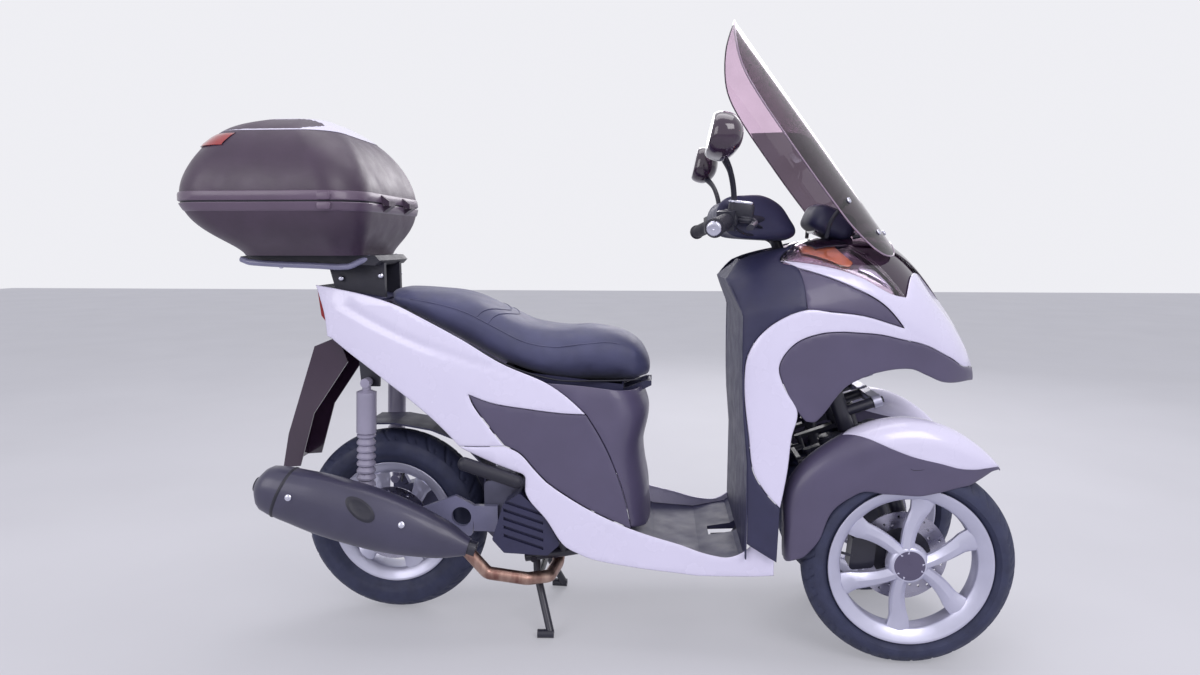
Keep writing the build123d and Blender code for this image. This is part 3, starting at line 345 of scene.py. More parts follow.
def rounded(profile, radius, segments=3):
    """Rounds the corners of a closed (a, b) outline."""
    made = []
    count = len(profile)
    for i in range(count):
        p = Vector(profile[i])
        a = Vector(profile[i - 1])
        b = Vector(profile[(i + 1) % count])
        cut = min(radius, (a - p).length * 0.45, (b - p).length * 0.45)
        start = p + (a - p).normalized() * cut
        end = p + (b - p).normalized() * cut
        for k in range(segments + 1):
            t = k / segments
            made.append(tuple((1 - t) ** 2 * start + 2 * t * (1 - t) * p + t * t * end))
    return made


def tube(points, radius, steps=10, samples=8):
    """A round bar along a smooth line through points in metres. It has one radius in mm, or one a point."""
    line = smooth_line([tuple(p) for p in points], samples)
    count = len(line)
    radii = radius if isinstance(radius, (list, tuple)) else [radius] * len(points)
    rings = []
    up = None
    for n, p in enumerate(line):
        ahead = (line[min(n + 1, count - 1)] - line[max(n - 1, 0)]).normalized()
        if up is None:
            up = ahead.orthogonal().normalized()
        up = (up - ahead * up.dot(ahead)).normalized()
        across = ahead.cross(up)
        share = n / (count - 1) * (len(radii) - 1)
        k = min(int(share), len(radii) - 2) if len(radii) > 1 else 0
        r = radii[k] + (radii[min(k + 1, len(radii) - 1)] - radii[k]) * (share - k)
        ring = []
        for i in range(steps):
            turn = 2 * math.pi * i / steps
            ring.append(p + (up * math.cos(turn) + across * math.sin(turn)) * r * MM)
        rings.append(ring)
    return ring_surface(rings)


def smooth_line(points, samples):
    """Points along a smooth open line through the given ones."""
    knots = [Vector(p) for p in points]
    if len(knots) == 2:
        return [knots[0].lerp(knots[1], n / samples) for n in range(samples + 1)]
    made = []
    last = len(knots) - 1
    for i in range(last):
        a, b = knots[i], knots[i + 1]
        before = knots[i - 1] if i else a * 2 - b
        after = knots[i + 2] if i + 2 <= last else b * 2 - a
        length = (b - a).length
        ta = (b - before).normalized() * length
        tb = (after - a).normalized() * length
        for k in range(samples):
            made.append(hermite(a, b, ta, tb, k / samples))
    return made + [knots[-1]]


def hermite(a, b, ta, tb, t):
    t2, t3 = t * t, t * t * t
    return a * (2 * t3 - 3 * t2 + 1) + ta * (t3 - 2 * t2 + t) + b * (3 * t2 - 2 * t3) + tb * (t3 - t2)


def smooth_loop(points, step):
    """A closed line through 2-D points. A point with a third value is a corner."""
    knots = [Vector(p[:2]) for p in points]
    sharp = [len(p) > 2 for p in points]
    count = len(knots)
    made = []
    for i in range(count):
        j = (i + 1) % count
        a, b = knots[i], knots[j]
        length = (b - a).length
        straight = (b - a).normalized()
        ta = straight if sharp[i] else (b - knots[i - 1]).normalized()
        tb = straight if sharp[j] else (knots[(j + 1) % count] - a).normalized()
        if sharp[i] and not sharp[j]:
            ta = (straight * 1.5 - tb * 0.5).normalized()
        if sharp[j] and not sharp[i]:
            tb = (straight * 1.5 - ta * 0.5).normalized()
        parts = max(1, round(length / step))
        for k in range(parts):
            made.append(hermite(a, b, ta * length, tb * length, k / parts))
    return made


def inside(point, loop):
    x, y = point
    hit = False
    for i in range(len(loop)):
        ax, ay = loop[i]
        bx, by = loop[i - 1]
        if (ay > y) != (by > y) and x < (bx - ax) * (y - ay) / (by - ay) + ax:
            hit = not hit
    return hit


def shrink(loop, distance):
    """The loop moved inwards."""
    area = sum(loop[i - 1].x * loop[i].y - loop[i].x * loop[i - 1].y for i in range(len(loop)))
    turn = 1 if area > 0 else -1
    made = []
    count = len(loop)
    for i in range(count):
        before = (loop[i] - loop[i - 1]).normalized()
        after = (loop[(i + 1) % count] - loop[i]).normalized()
        along = before + after
        if along.length < 1e-6:
            along = after
        along.normalize()
        inward = Vector((-along.y, along.x)) * turn
        grow = min(1.6, 1 / max(0.5, abs(along.dot(after))))
        made.append(loop[i] + inward * distance * grow)
    return made


# A panel's edge: half the seam between panels, the width and depth of its rolled lip, its mesh sizes
SEAM = 0.7
LIP = 2.2
ROLL = 1.3
GRID = 11
EDGE_STEP = 5


def sheet(outline, surface, relief, roll):
    """Triangles of a panel. The outline is in the surface's (u, v) mm; the rim rolls inwards."""
    outer = shrink(smooth_loop(outline, EDGE_STEP), SEAM)
    inner = shrink(outer, LIP)
    rim = len(outer)
    points = outer + inner + fill_points(outer, inner)
    edges = [(i, (i + 1) % rim) for i in range(rim)]
    found, _, triangles, origins, _, _ = delaunay_2d_cdt(points, edges, [], 0, 1e-5)
    verts = []
    for n, p in enumerate(found):
        place, normal = surface_frame(surface, p.x, p.y)
        lift = relief(p.x, p.y) if relief else 0
        if origins[n] and origins[n][0] < rim:
            lift -= roll
        verts.append(place + normal * lift)
    kept = []
    for a, b, c in triangles:
        if inside((found[a] + found[b] + found[c]) / 3, outer):
            turn = (found[b] - found[a]).cross(found[c] - found[a])
            kept.append((a, b, c) if turn > 0 else (a, c, b))
    used = sorted({i for face in kept for i in face})
    order = {old: new for new, old in enumerate(used)}
    return [verts[i] for i in used], [tuple(order[i] for i in face) for face in kept]


def fill_points(outer, inner):
    """A staggered grid of points inside a panel, none of them close to its rim."""
    low_u = min(p.x for p in outer)
    low_v = min(p.y for p in outer)
    rows = int((max(p.y for p in outer) - low_v) / GRID) + 1
    columns = int((max(p.x for p in outer) - low_u) / GRID) + 1
    buckets = {}
    for p in inner:
        buckets.setdefault((int(p.x // GRID), int(p.y // GRID)), []).append(p)
    made = []
    for r in range(rows + 1):
        for c in range(columns + 1):
            p = Vector((low_u + (c + 0.5 * (r % 2)) * GRID, low_v + r * GRID * 0.87))
            if not inside(p, inner):
                continue
            i, j = int(p.x // GRID), int(p.y // GRID)
            near = [q for a in (-1, 0, 1) for b in (-1, 0, 1) for q in buckets.get((i + a, j + b), ())]
            if not any((p - q).length < GRID * 0.45 for q in near):
                made.append(p)
    return made


def surface_frame(surface, u, v):
    """A surface point in mm and its outward normal."""
    place = surface(u, v)
    du = surface(u + 1, v) - surface(u - 1, v)
    dv = surface(u, v + 1) - surface(u, v - 1)
    normal = du.cross(dv)
    if normal.length < 1e-9:
        normal = Vector((0, -1, 0))
    return place, normal.normalized()


def panel(name, outline, surface, finish, body, slot, replaced=(), relief=None, mirrored=True,
          wall=2.5, only=None, roll=ROLL):
    """A moulded panel, and its twin on the other side. Surfaces are given for the right side, y below 0."""
    verts, faces = sheet(outline, surface, relief, roll)
    right = [at(*v) for v in verts]
    if mirrored:
        left = [Vector((v.x, -v.y, v.z)) for v in right]
        flipped = [tuple(reversed(face)) for face in faces]
        meshes = {"right": (right, faces), "left": (left, flipped)}
        mesh = join([meshes[only]] if only else [meshes["right"], meshes["left"]], name)
    else:
        mesh = mesh_of(name, right, faces)
    return solid(add(name, mesh, finish, body, slot, replaced, angle=None), wall)


def bisect(below):
    """The share from 0 to 1 up to which below(share) holds."""
    low, high = 0.0, 1.0
    for _ in range(24):
        share = (low + high) / 2
        if below(share):
            low = share
        else:
            high = share
    return low


def column_curve(rows):
    """Each column of a table as a smooth function of its first."""
    xs = [row[0] for row in rows]
    width = len(rows[0]) - 1
    slopes = []
    for i in range(len(rows)):
        a, b = max(i - 1, 0), min(i + 1, len(rows) - 1)
        slopes.append([(rows[b][k + 1] - rows[a][k + 1]) / (xs[b] - xs[a]) for k in range(width)])

    def values(x):
        x = min(max(x, xs[0]), xs[-1])
        i = 0
        while i < len(xs) - 2 and x > xs[i + 1]:
            i += 1
        span = xs[i + 1] - xs[i]
        t = (x - xs[i]) / span
        return [
            hermite(rows[i][k + 1], rows[i + 1][k + 1], slopes[i][k] * span, slopes[i + 1][k] * span, t)
            for k in range(width)
        ]
    return values


# Front body

# x, half width at the foot, half width at the shoulder, shoulder height, crown height
FRONT_SECTIONS = (
    (860, 200, 190, 830, 945),
    (940, 246, 222, 852, 978),
    (1050, 252, 230, 862, 1004),
    (1180, 214, 212, 850, 1024),
    (1290, 164, 180, 808, 1004),
    (1400, 120, 136, 744, 880),
    (1465, 76, 90, 704, 782),
    (1502, 36, 44, 672, 706),
)
FRONT_FOOT = 240
WALL_V = 620
ROOF_V = 300
front_section = column_curve(FRONT_SECTIONS)


def roof_arc(half, shoulder, crown, share):
    """A point on the arc from the shoulder (share 0) to the crown (share 1), as (half width, height)."""
    ax, ay = half, shoulder
    bx, by = 0.75 * half, shoulder + 0.68 * (crown - shoulder)
    cx, cy = 0.0, crown
    d = 2 * (ax * (by - cy) + bx * (cy - ay) + cx * (ay - by))
    ux = ((ax**2 + ay**2) * (by - cy) + (bx**2 + by**2) * (cy - ay) + (cx**2 + cy**2) * (ay - by)) / d
    uy = ((ax**2 + ay**2) * (cx - bx) + (bx**2 + by**2) * (ax - cx) + (cx**2 + cy**2) * (bx - ax)) / d
    r = math.hypot(ax - ux, ay - uy)
    a0 = math.atan2(ay - uy, ax - ux)
    a1 = math.atan2(cy - uy, cx - ux)
    angle = a0 + (a1 - a0) * share
    return ux + r * math.cos(angle), uy + r * math.sin(angle)


def front_surface(x, v):
    """The right side of the front body; v runs up the wall and then over the roof to the centre line."""
    foot, half, shoulder, crown = front_section(x)
    if v <= WALL_V:
        share = v / WALL_V
        return Vector((x, -(foot + (half - foot) * share), FRONT_FOOT + (shoulder - FRONT_FOOT) * share))
    y, z = roof_arc(half, shoulder, crown, min(1.2, (v - WALL_V) / ROOF_V))
    return Vector((x, -y, z))


def front_side(points):
    """Side-view (x, z) points as places on the front surface."""
    made = []
    for x, z, *corner in points:
        _, half, shoulder, crown = front_section(x)
        if z <= shoulder:
            v = WALL_V * (z - FRONT_FOOT) / (shoulder - FRONT_FOOT)
        else:
            v = WALL_V + ROOF_V * bisect(lambda share: roof_arc(half, shoulder, crown, share)[1] < z)
        made.append((x, v, *corner))
    return made


def front_top(points):
    """Plan-view (x, half width) points as places on the roof of the front surface."""
    made = []
    for x, y, *corner in points:
        _, half, shoulder, crown = front_section(x)
        share = bisect(lambda share: roof_arc(half, shoulder, crown, share)[0] > y)
        made.append((x, WALL_V + ROOF_V * share, *corner))
    return made


# Side-view outlines of the front panels as (x, z); a third value marks a corner
BAND_REAR = (
    (999, 393, 1), (962, 432), (935, 480), (924, 560), (914, 640), (912, 700), (918, 748), (942, 794),
    (985, 832), (1050, 858),
)
INSERT_LOW = ((1110, 852), (1185, 842), (1240, 826), (1284, 812, 1))
INSERT_TOP = ((1236, 864), (1159, 908), (1095, 934), (1035, 952, 1))
LENS_LOW = ((1090, 958), (1180, 930), (1245, 895), (1288, 884, 1))
LENS_TOP = ((1240, 944), (1165, 1008), (1100, 1036), (1080, 1036, 1), (1040, 1003))
COWL_TOP = (
    (1500, 700, 1), (1463, 708), (1407, 738), (1350, 766), (1284, 784), (1230, 797), (1178, 803),
    (1130, 806), (1085, 803), (1035, 786), (1004, 757), (990, 722), (1004, 676), (1034, 622),
)
COWL_LOW = ((1080, 600), (1141, 673), (1180, 695), (1225, 709), (1308, 713), (1350, 696), (1395, 677),
            (1446, 672), (1500, 668, 1))
CORE_LINE = (
    (1497, 696, 1), (1400, 760), (1300, 860), (1240, 936), (1165, 1002), (1100, 1030), (1082, 1032, 1),
)
CORE_ENDS = (1082, 1497)
SIGNAL_LINE = ((1052, 992, 1), (1100, 978), (1150, 958), (1168, 968, 1), (1142, 996), (1090, 1018))
POSITION_LINE = ((1178, 950, 1), (1215, 932), (1262, 902, 1), (1230, 938), (1192, 966))
SHIELD_LINE = (
    (1080, 1036, 1), (1040, 1003), (998, 968), (1035, 952), (1050, 858, 1), (985, 832), (942, 794),
    (918, 748), (912, 700), (914, 640), (924, 560), (935, 480), (962, 432), (999, 393, 1), (994, 262, 1),
    (924, 300, 1), (921, 492), (911, 600), (907, 700), (906, 839, 1), (872, 923, 1), (905, 966, 1),
    (960, 986), (1020, 999, 1),
)
# Plan-view edge of the ridge ahead of the lenses, as (x, half width)
RIDGE_EDGE = ((1345, 72), (1400, 60), (1460, 46))
# How far the inner pieces lie under the skin
INSERT_DEPTH = 2.5
LAMP_DEPTH = 7
CORE_DEPTH = 5
CORE_OVERLAP = 3


def front_panels():
    band = front_side(BAND_REAR + INSERT_LOW + INSERT_TOP + ((998, 968, 1),) + LENS_LOW)
    band += front_top(RIDGE_EDGE) + front_side(COWL_TOP + ((1022, 560), (1014, 480)))
    lens = front_side(((998, 968, 1),) + LENS_LOW + LENS_TOP)
    crest = WALL_V + ROOF_V + CORE_OVERLAP
    rows = (
        # name, outline, finish, slot, replaced nodes, relief, wall, roll of the rim
        ("band_panels", band, WHITE, "white_panel", ("side_bands",), None, 2.5, ROLL),
        ("insert_panels", front_side(((1050, 858, 1),) + INSERT_LOW + INSERT_TOP), DARK, "dark_panel",
         ("cowl_inserts",), lambda x, v: -INSERT_DEPTH, 2.5, ROLL),
        ("lamp_lenses", lens, CLEAR, "lens", ("front_lamps",), None, 1.6, ROLL),
        ("lamp_bowls", lens, REFLECTOR, "lens", (), bowl_relief, 1.2, 0),
        ("signal_lamps", front_side(SIGNAL_LINE), ORANGE, "lens", (), lambda x, v: -LAMP_DEPTH, 1.2, ROLL),
        ("cowl_core", front_side(CORE_LINE) + [(x, crest, 1) for x in CORE_ENDS], MAROON, "dark_panel", (),
         lambda x, v: -CORE_DEPTH, 1.6, 0),
        ("position_lamps", front_side(POSITION_LINE), CHROME, "lens", (),
         lambda x, v: -LAMP_DEPTH, 1.2, ROLL),
        ("lower_cowl_panels", front_side(COWL_TOP + ((1053, 599, 1),) + COWL_LOW), DARK, "dark_panel",
         ("lower_cowl",), None, 2.5, ROLL),
        ("shield_sides", front_side(SHIELD_LINE), NAVY, "navy_plastic", ("leg_shield",), None, 2.5, ROLL),
    )
    for name, outline, finish, slot, replaced, relief, wall, roll in rows:
        panel(name, outline, front_surface, finish, "body", slot, replaced, relief, wall=wall, roll=roll)


def bowl_relief(x, v):
    """Ribbed reflector behind the clear lens."""
    return -13 + 1.6 * abs(((x * 0.055 + v * 0.03) % 1) - 0.5)


# Rear body

# x, half width low down, in the middle and at the seat
REAR_SECTIONS = (
    (-190, 55, 76, 66),
    (0, 100, 132, 116),
    (250, 168, 172, 136),
    (450, 196, 176, 124),
    (640, 205, 172, 112),
    (820, 212, 186, 120),
    (1005, 238, 232, 200),
)
REAR_LEVELS = (190, 540, 930)
rear_section = column_curve(REAR_SECTIONS)


def rear_half(x, z):
    low, mid, high = rear_section(x)
    a, b, c = REAR_LEVELS
    return (
        low * (z - b) * (z - c) / ((a - b) * (a - c)) + mid * (z - a) * (z - c) / ((b - a) * (b - c))
        + high * (z - a) * (z - b) / ((c - a) * (c - b))
    )


def rear_surface(x, z):
    return Vector((x, -rear_half(x, z), z))


# Side-view outlines of the rear panels as (x, z). Panels that meet share the points of their seam.
TAIL_LINE = (
    (-175, 902, 1), (-100, 892), (-26, 879), (50, 858), (107, 833), (227, 773), (328, 715), (439, 668),
    (490, 634), (537, 591, 1), (470, 594), (393, 603), (307, 616), (245, 637, 1), (256, 612), (273, 587),
    (296, 558), (316, 533), (335, 511, 1), (276, 508), (219, 506, 1), (160, 562), (100, 610), (40, 652),
    (-20, 693), (-80, 731), (-129, 764, 1), (-143, 770, 1), (-150, 826), (-162, 866),
)
SKIRT_LINE = (
    (219, 506, 1), (276, 508), (335, 511, 1), (375, 492), (410, 454), (445, 420), (522, 371), (580, 342),
    (638, 318), (702, 298), (768, 281), (816, 266), (852, 259), (884, 258), (915, 272), (940, 296),
    (955, 314), (990, 334, 1), (991, 222, 1), (935, 214), (818, 205), (770, 208), (667, 217), (567, 231),
    (520, 246), (481, 268), (438, 330), (400, 372), (387, 396), (386, 420), (384, 438), (360, 448),
    (310, 466), (232, 498),
)
COVER_LINE = (
    (537, 591, 1), (572, 536), (600, 480), (628, 405), (650, 314, 1), (638, 318), (580, 342), (522, 371),
    (445, 420), (410, 454), (375, 492), (335, 511, 1), (316, 533), (296, 558), (273, 587), (256, 612),
    (245, 637, 1), (307, 616), (393, 603), (470, 594),
)
PEDESTAL_NOSE = 697
PEDESTAL_ROUND = 78
GROOVE = ((-103, 858), (-20, 818), (60, 782), (123, 757), (240, 722), (364, 690))
GROOVE_WIDE, GROOVE_NARROW, GROOVE_DEEP = 15, 11, 4.5
COVER_CREASE = ((537, 591), (600, 480), (650, 330))


def near_line(line, x, z):
    """Distance from a side-view point to an open line."""
    best = 1e9
    for (ax, az), (bx, bz) in zip(line, line[1:]):
        share = ((x - ax) * (bx - ax) + (z - az) * (bz - az)) / ((bx - ax) ** 2 + (bz - az) ** 2)
        share = min(1, max(0, share))
        best = min(best, math.hypot(x - ax - share * (bx - ax), z - az - share * (bz - az)))
    return best


def tail_relief(x, z):
    """The groove along the tail, wide at the rear and fading out ahead."""
    if not -110 < x < 380:
        return 0
    width = GROOVE_WIDE - GROOVE_NARROW * (x + 110) / 490
    distance = near_line(GROOVE, x, z)
    return -GROOVE_DEEP * max(0, 1 - distance / width) ** 0.7 if distance < width else 0


def cover_relief(x, z):
    """The side cover swells towards the crease along its front edge."""
    distance = near_line(COVER_CREASE, x, z)
    swell = max(0, 1 - distance / 60) ** 2
    return 3 * swell - 3


def pedestal_surface(u, z):
    """The seat's pedestal: along the side, then round the nose to the centre line."""
    start = pedestal_front(z) - PEDESTAL_ROUND
    if u <= start:
        return rear_surface(u, z)
    angle = (u - start) / PEDESTAL_ROUND
    x = start + PEDESTAL_ROUND * math.sin(angle)
    blunt = math.cos(angle)
    return Vector((x, -rear_half(x, z) * (abs(blunt) ** 0.72) * (1 if blunt >= 0 else -1), z))


pedestal_profile = column_curve((
    (300, 697), (331, 693), (391, 689), (440, 680), (499, 676), (583, 690), (650, 668),
))


def pedestal_front(z):
    return pedestal_profile(z)[0]


def rear_panels():
    start = PEDESTAL_NOSE - PEDESTAL_ROUND
    end = start + PEDESTAL_ROUND * math.pi / 2 - 0.5
    pedestal = (
        (537, 591, 1), (490, 634), (439, 668, 1), (520, 662), (start, 650, 1), (end - 8, 642, 1),
        (end, 300, 1), (700, 300, 1), (650, 314, 1), (628, 405), (600, 480), (572, 536),
    )
    rows = (
        # name, outline, surface, finish, slot, replaced node, relief
        ("tail_shells", TAIL_LINE, rear_surface, WHITE, "white_panel", "tail_panels", tail_relief),
        ("skirt_shells", SKIRT_LINE, rear_surface, WHITE, "white_panel", "side_skirts", None),
        ("cover_shells", COVER_LINE, rear_surface, DARK, "dark_panel", "side_covers", cover_relief),
        ("pedestal_shells", pedestal, pedestal_surface, DARK, "dark_panel", "seat_front_cover", None),
    )
    for name, outline, surface, finish, slot, replaced, relief in rows:
        panel(name, outline, surface, finish, "body", slot, (replaced,), relief)


# Wheels

FRONT_X, FRONT_Y, FRONT_Z = 1310, 192.5, 250
REAR_Z = 256.5
FRONT_BEAD, REAR_BEAD = 177.8, 152.4
FRONT_RIM, REAR_RIM = 72, 84
FRONT_RIGHT = (FRONT_X, -FRONT_Y, FRONT_Z)
FRONT_LEFT = (FRONT_X, FRONT_Y, FRONT_Z)
REAR_MIDDLE = (0, 0, REAR_Z)
TYRES = (
    # name, body, centre, side, radius, width, bead seat radius, rim width, tread blocks round
    ("front_tread_right", "front_wheel_right", FRONT_RIGHT, -1, 250, 90, FRONT_BEAD, FRONT_RIM, 30),
    ("front_tread_left", "front_wheel_left", FRONT_LEFT, 1, 250, 90, FRONT_BEAD, FRONT_RIM, 30),
    ("rear_tread", "rear_wheel", REAR_MIDDLE, -1, 251.5, 110, REAR_BEAD, REAR_RIM, 26),
)
TYRE_STEPS = 420
GROOVE_DEPTH = 3.2


def tyre_profile(radius, width, seat, rim):
    """Outer half section points (radius, across), from the middle of the tread to the bead."""
    half = width / 2
    points = []
    edge_r, edge_z = radius - 26, half * 0.88
    for n in range(19):
        share = n / 18
        angle = share * math.pi / 2
        z = edge_z * math.sin(angle * 0.86) / math.sin(0.86 * math.pi / 2)
        r = edge_r + (radius - 0.4 - edge_r) * (1 - (z / edge_z) ** 2)
        points.append((r, z, share))
    belly = seat + 16 + 0.55 * (edge_r - seat - 16)
    neck_z = rim / 2 - 7
    for share in (0.25, 0.5, 0.75, 1.0):
        r = edge_r + (seat + 16 - edge_r) * share
        bulge = 4 * share * (1 - share)
        z = edge_z + (neck_z - edge_z) * share + (half - 0.5 * (edge_z + neck_z)) * bulge * 0.92
        points.append((r, z, 2))
        if share == 0.5:
            points.append((r - 4, z, 2))
    points.append((seat + 9, neck_z - 1, 2))
    points.append((seat + 1, neck_z - 2, 2))
    return points


def groove_at(turn, share, side):
    """Depth of the tread's grooves: share 0 is the middle and 1 the shoulder."""
    if share > 1.2:
        return 0
    depth = 0.0
    sweep = (turn + 0.5 * (side > 0) + 0.62 * share ** 1.4) % 1
    if 0.16 < share < 0.9:
        width = 0.09 * (1 - 0.5 * share)
        depth = max(depth, 1 if abs(sweep - 0.5) < width else 0)
    short = (turn + 0.5 * (side < 0) + 0.4 * share) % 1
    if 0.5 < share < 0.82:
        depth = max(depth, 0.8 if abs(short - 0.5) < 0.05 else 0)
    if share < 0.05:
        depth = 0.9
    return depth


def tyres():
    for name, body, centre, side, radius, width, seat, rim, blocks in TYRES:
        half = tyre_profile(radius, width, seat, rim)
        profile = [(r, z, s, 1) for r, z, s in half] + [(r, -z, s, -1) for r, z, s in reversed(half[1:])]
        verts = []
        middle = at(*centre)
        for n in range(TYRE_STEPS):
            angle = 2 * math.pi * n / TYRE_STEPS
            turn = n * blocks / TYRE_STEPS
            for r, z, share, hand in profile:
                cut = r - GROOVE_DEPTH * groove_at(turn, share, hand)
                verts.append(middle + Vector((cut * math.cos(angle), side * z, cut * math.sin(angle))) * MM)
        faces = round_faces(TYRE_STEPS, len(profile))
        if side < 0:
            faces = [tuple(reversed(face)) for face in faces]
        node = name.replace("tread", "tyre")
        add(name, mesh_of(name, verts, faces), RUBBER, body, "tyre", (node,), angle=40)


# Spokes, hubs and discs

RIMS = (
    # name, body, centre, side, bead seat radius, rim width, first pair's angle, hub half width,
    # place of the disc across the wheel, its radius
    ("front_alloy_right", "front_wheel_right", FRONT_RIGHT, -1, FRONT_BEAD, FRONT_RIM, 112, 34, -38, 110),
    ("front_alloy_left", "front_wheel_left", FRONT_LEFT, 1, FRONT_BEAD, FRONT_RIM, 112, 34, -38, 110),
    ("rear_alloy", "rear_wheel", REAR_MIDDLE, -1, REAR_BEAD, REAR_RIM, 20, 44, 44, 100),
)
PAIRS = 3
SPOKE_ROOT = 30
ROOT_SPREAD, TIP_SPREAD = 13, 32
SPOKE_SHAPE = ((-1, -8), (-1, 2), (-0.72, 7), (0.1, 10), (0.62, 6), (1, 1), (1, -8), (0, -11))


def barrel_profile(seat, width):
    half = width / 2
    flange = seat + 14.5
    side = (
        (seat - 13, 6), (seat - 0.5, 15), (seat - 0.5, half - 8), (flange - 3, half - 5.5),
        (flange, half - 3),
        (flange, half), (flange - 5, half), (seat - 4, half - 7), (seat - 18, half - 16), (seat - 19, 10),
    )
    line = list(side) + [(r, -z) for r, z in reversed(side)]
    return rounded(line, 3.5, 2)


def spoke(place, seat, half, root, tip, lean):
    """One blade of a pair, from the hub out to the rim."""
    rings = []
    for n in range(15):
        share = n / 14
        radius = SPOKE_ROOT + (seat - 14 - SPOKE_ROOT) * share
        angle = root + (tip - root) * min(1, share * 1.25) ** 0.8
        wide = 12 + 13 * share + 12 * max(0, share - 0.72) ** 1.3 / 0.28 ** 0.3 + 5 * (1 - share) ** 4
        face = half - 18 - 5 * math.sin(math.pi * share) - 3 * share
        rings.append([
            place(radius, angle + lean * across * wide / radius, face + up * (1.15 - 0.25 * share))
            for across, up in SPOKE_SHAPE
        ])
    return ring_surface(rings)


def rim_mesh(name, place, middle, axis, seat, width, phase, hub_half):
    """The cast wheel: its barrel, the pairs of spokes and the hub."""
    half = width / 2
    parts = [lathe(barrel_profile(seat, width), middle, axis, 120)]
    for pair in range(PAIRS):
        for lean in (-1, 1):
            tip = math.radians(phase + 120 * pair + TIP_SPREAD * lean)
            root = math.radians(phase + 120 * pair + ROOT_SPREAD * lean)
            parts.append(spoke(place, seat, half, root, tip, lean))
    hub = rounded((
        (0, half - 8), (40, half - 8), (46, half - 14), (52, half - 30), (46, -4), (38, -hub_half),
        (0, -hub_half),
    ), 4)
    parts.append(lathe([(max(r, 0.01), z) for r, z in hub], middle, axis, 72))
    mesh = join(parts, name)
    bm = bmesh.new()
    bm.from_mesh(mesh)
    bmesh.ops.recalc_face_normals(bm, faces=bm.faces)
    bm.to_mesh(mesh)
    bm.free()
    return mesh


def disc_carrier(middle, axis, disc_at, disc_r):
    """The plate that holds a brake disc, with its five bolts."""
    outer, inner = disc_r - 40, 30
    plate = ((outer, disc_at + 3), (outer, disc_at - 3), (inner, disc_at - 4), (inner, disc_at + 5))
    parts = [lathe(rounded(plate, 1), middle, axis, 64)]
    for n in range(5):
        angle = 2 * math.pi * n / 5
        spot = middle + Vector((math.cos(angle) * 50, 0, math.sin(angle) * 50)) * MM
        parts.append(lathe(bolt_head(6, disc_at - 3, disc_at + 8), spot, axis, 6))
    return join(parts, "carrier")


def bolt_head(radius, low, high):
    return rounded(((0.01, low), (radius, low), (radius, high), (0.01, high)), 1)


def rims():
    for name, body, centre, side, seat, width, phase, hub_half, disc_at, disc_r in RIMS:
        middle = at(*centre)
        axis = Vector((0, side, 0))
        half = width / 2

        def place(radius, angle, across):
            return middle + Vector((radius * math.cos(angle), side * across, radius * math.sin(angle))) * MM

        mesh = rim_mesh(name, place, middle, axis, seat, width, phase, hub_half)
        rim = add(name, mesh, ALLOY, body, "alloy", (name.replace("alloy", "rim"),), angle=32)
        bevel(rim, 1.6, 3)
        cap = rounded((
            (0.01, half - 7.5), (36, half - 7.5), (38, half - 10), (38, half - 13), (0.01, half - 13),
        ), 1.5)
        add(name + "_cap", join([lathe(cap, middle, axis, 64)], "cap"), DARK, body, "dark_panel")
        disc = drilled_disc(middle, side, disc_at, disc_r, disc_r - 44)
        add(name + "_disc", disc, DISC, body, "alloy", angle=25)
        add(name + "_carrier", disc_carrier(middle, axis, disc_at, disc_r), BLACK, body, "frame_steel")
        valve_angle = math.radians(phase + 60)
        start = place(seat - 16, valve_angle, 8)
        end = place(seat - 44, valve_angle, 20)
        valve = tube([start, start.lerp(end, 0.6), end], [3.4, 3.2, 2.6], 10, 3)
        add(name + "_valve", join([valve], "valve"), BLACK, body, "tyre")


def drilled_disc(middle, side, offset, outer, inner):
    """A brake disc with rows of holes, each hole a loop cut through the plate."""
    def ring(radius, steps, u=0, v=0):
        turns = [2 * math.pi * n / steps for n in range(steps)]
        return [Vector((u + radius * math.cos(turn), v + radius * math.sin(turn))) for turn in turns]

    loops = [ring(outer, 96), ring(inner, 72)]
    for n in range(30):
        angle = 2 * math.pi * n / 30
        radius = inner + 12 + 10 * (n % 3)
        loops.append(ring(3.3, 10, radius * math.cos(angle), radius * math.sin(angle)))
    points, edges = [], []
    for loop in loops:
        base = len(points)
        points += loop
        edges += [(base + i, base + (i + 1) % len(loop)) for i in range(len(loop))]
    found, _, triangles, _, _, _ = delaunay_2d_cdt(points, edges, [], 0, 1e-5)
    kept = []
    for triangle in triangles:
        c = sum((found[i] for i in triangle), Vector((0, 0))) / 3
        if inner < c.length < outer and not any(inside(c, loop) for loop in loops[2:]):
            kept.append(tuple(triangle))
    verts, faces = [], []
    count = len(found)
    for z in (offset - 2, offset + 2):
        verts += [middle + Vector((p.x, side * z, p.y)) * MM for p in found]
    for a, b, c in kept:
        faces += [(a, b, c), (c + count, b + count, a + count)]
    uses = {edge: True for a, b, c in kept for edge in ((a, b), (b, c), (c, a))}
    faces += [(j, i, i + count, j + count) for i, j in uses if (j, i) not in uses]
    if side < 0:
        faces = [tuple(reversed(face)) for face in faces]
    return mesh_of("disc", verts, faces)


# Front mudguards

# angle from straight ahead, crown radius, shoulder radius, half width
FENDER_SECTIONS = (
    (47, 307, 296, 9),
    (60, 321, 288, 36),
    (80, 344, 292, 50),
    (97, 355, 296, 52),
    (122, 350, 298, 50),
    (146, 346, 302, 41),
    (165, 304, 291, 38),
    (184, 288, 277, 36),
)
FENDER_Y = 196.5
WEDGE_RISE = 1.6
FENDER_FOOT = 150
DEGREE = 5.2
SIDE_V = 140
CROWN_V = 220
fender_section = column_curve(FENDER_SECTIONS)
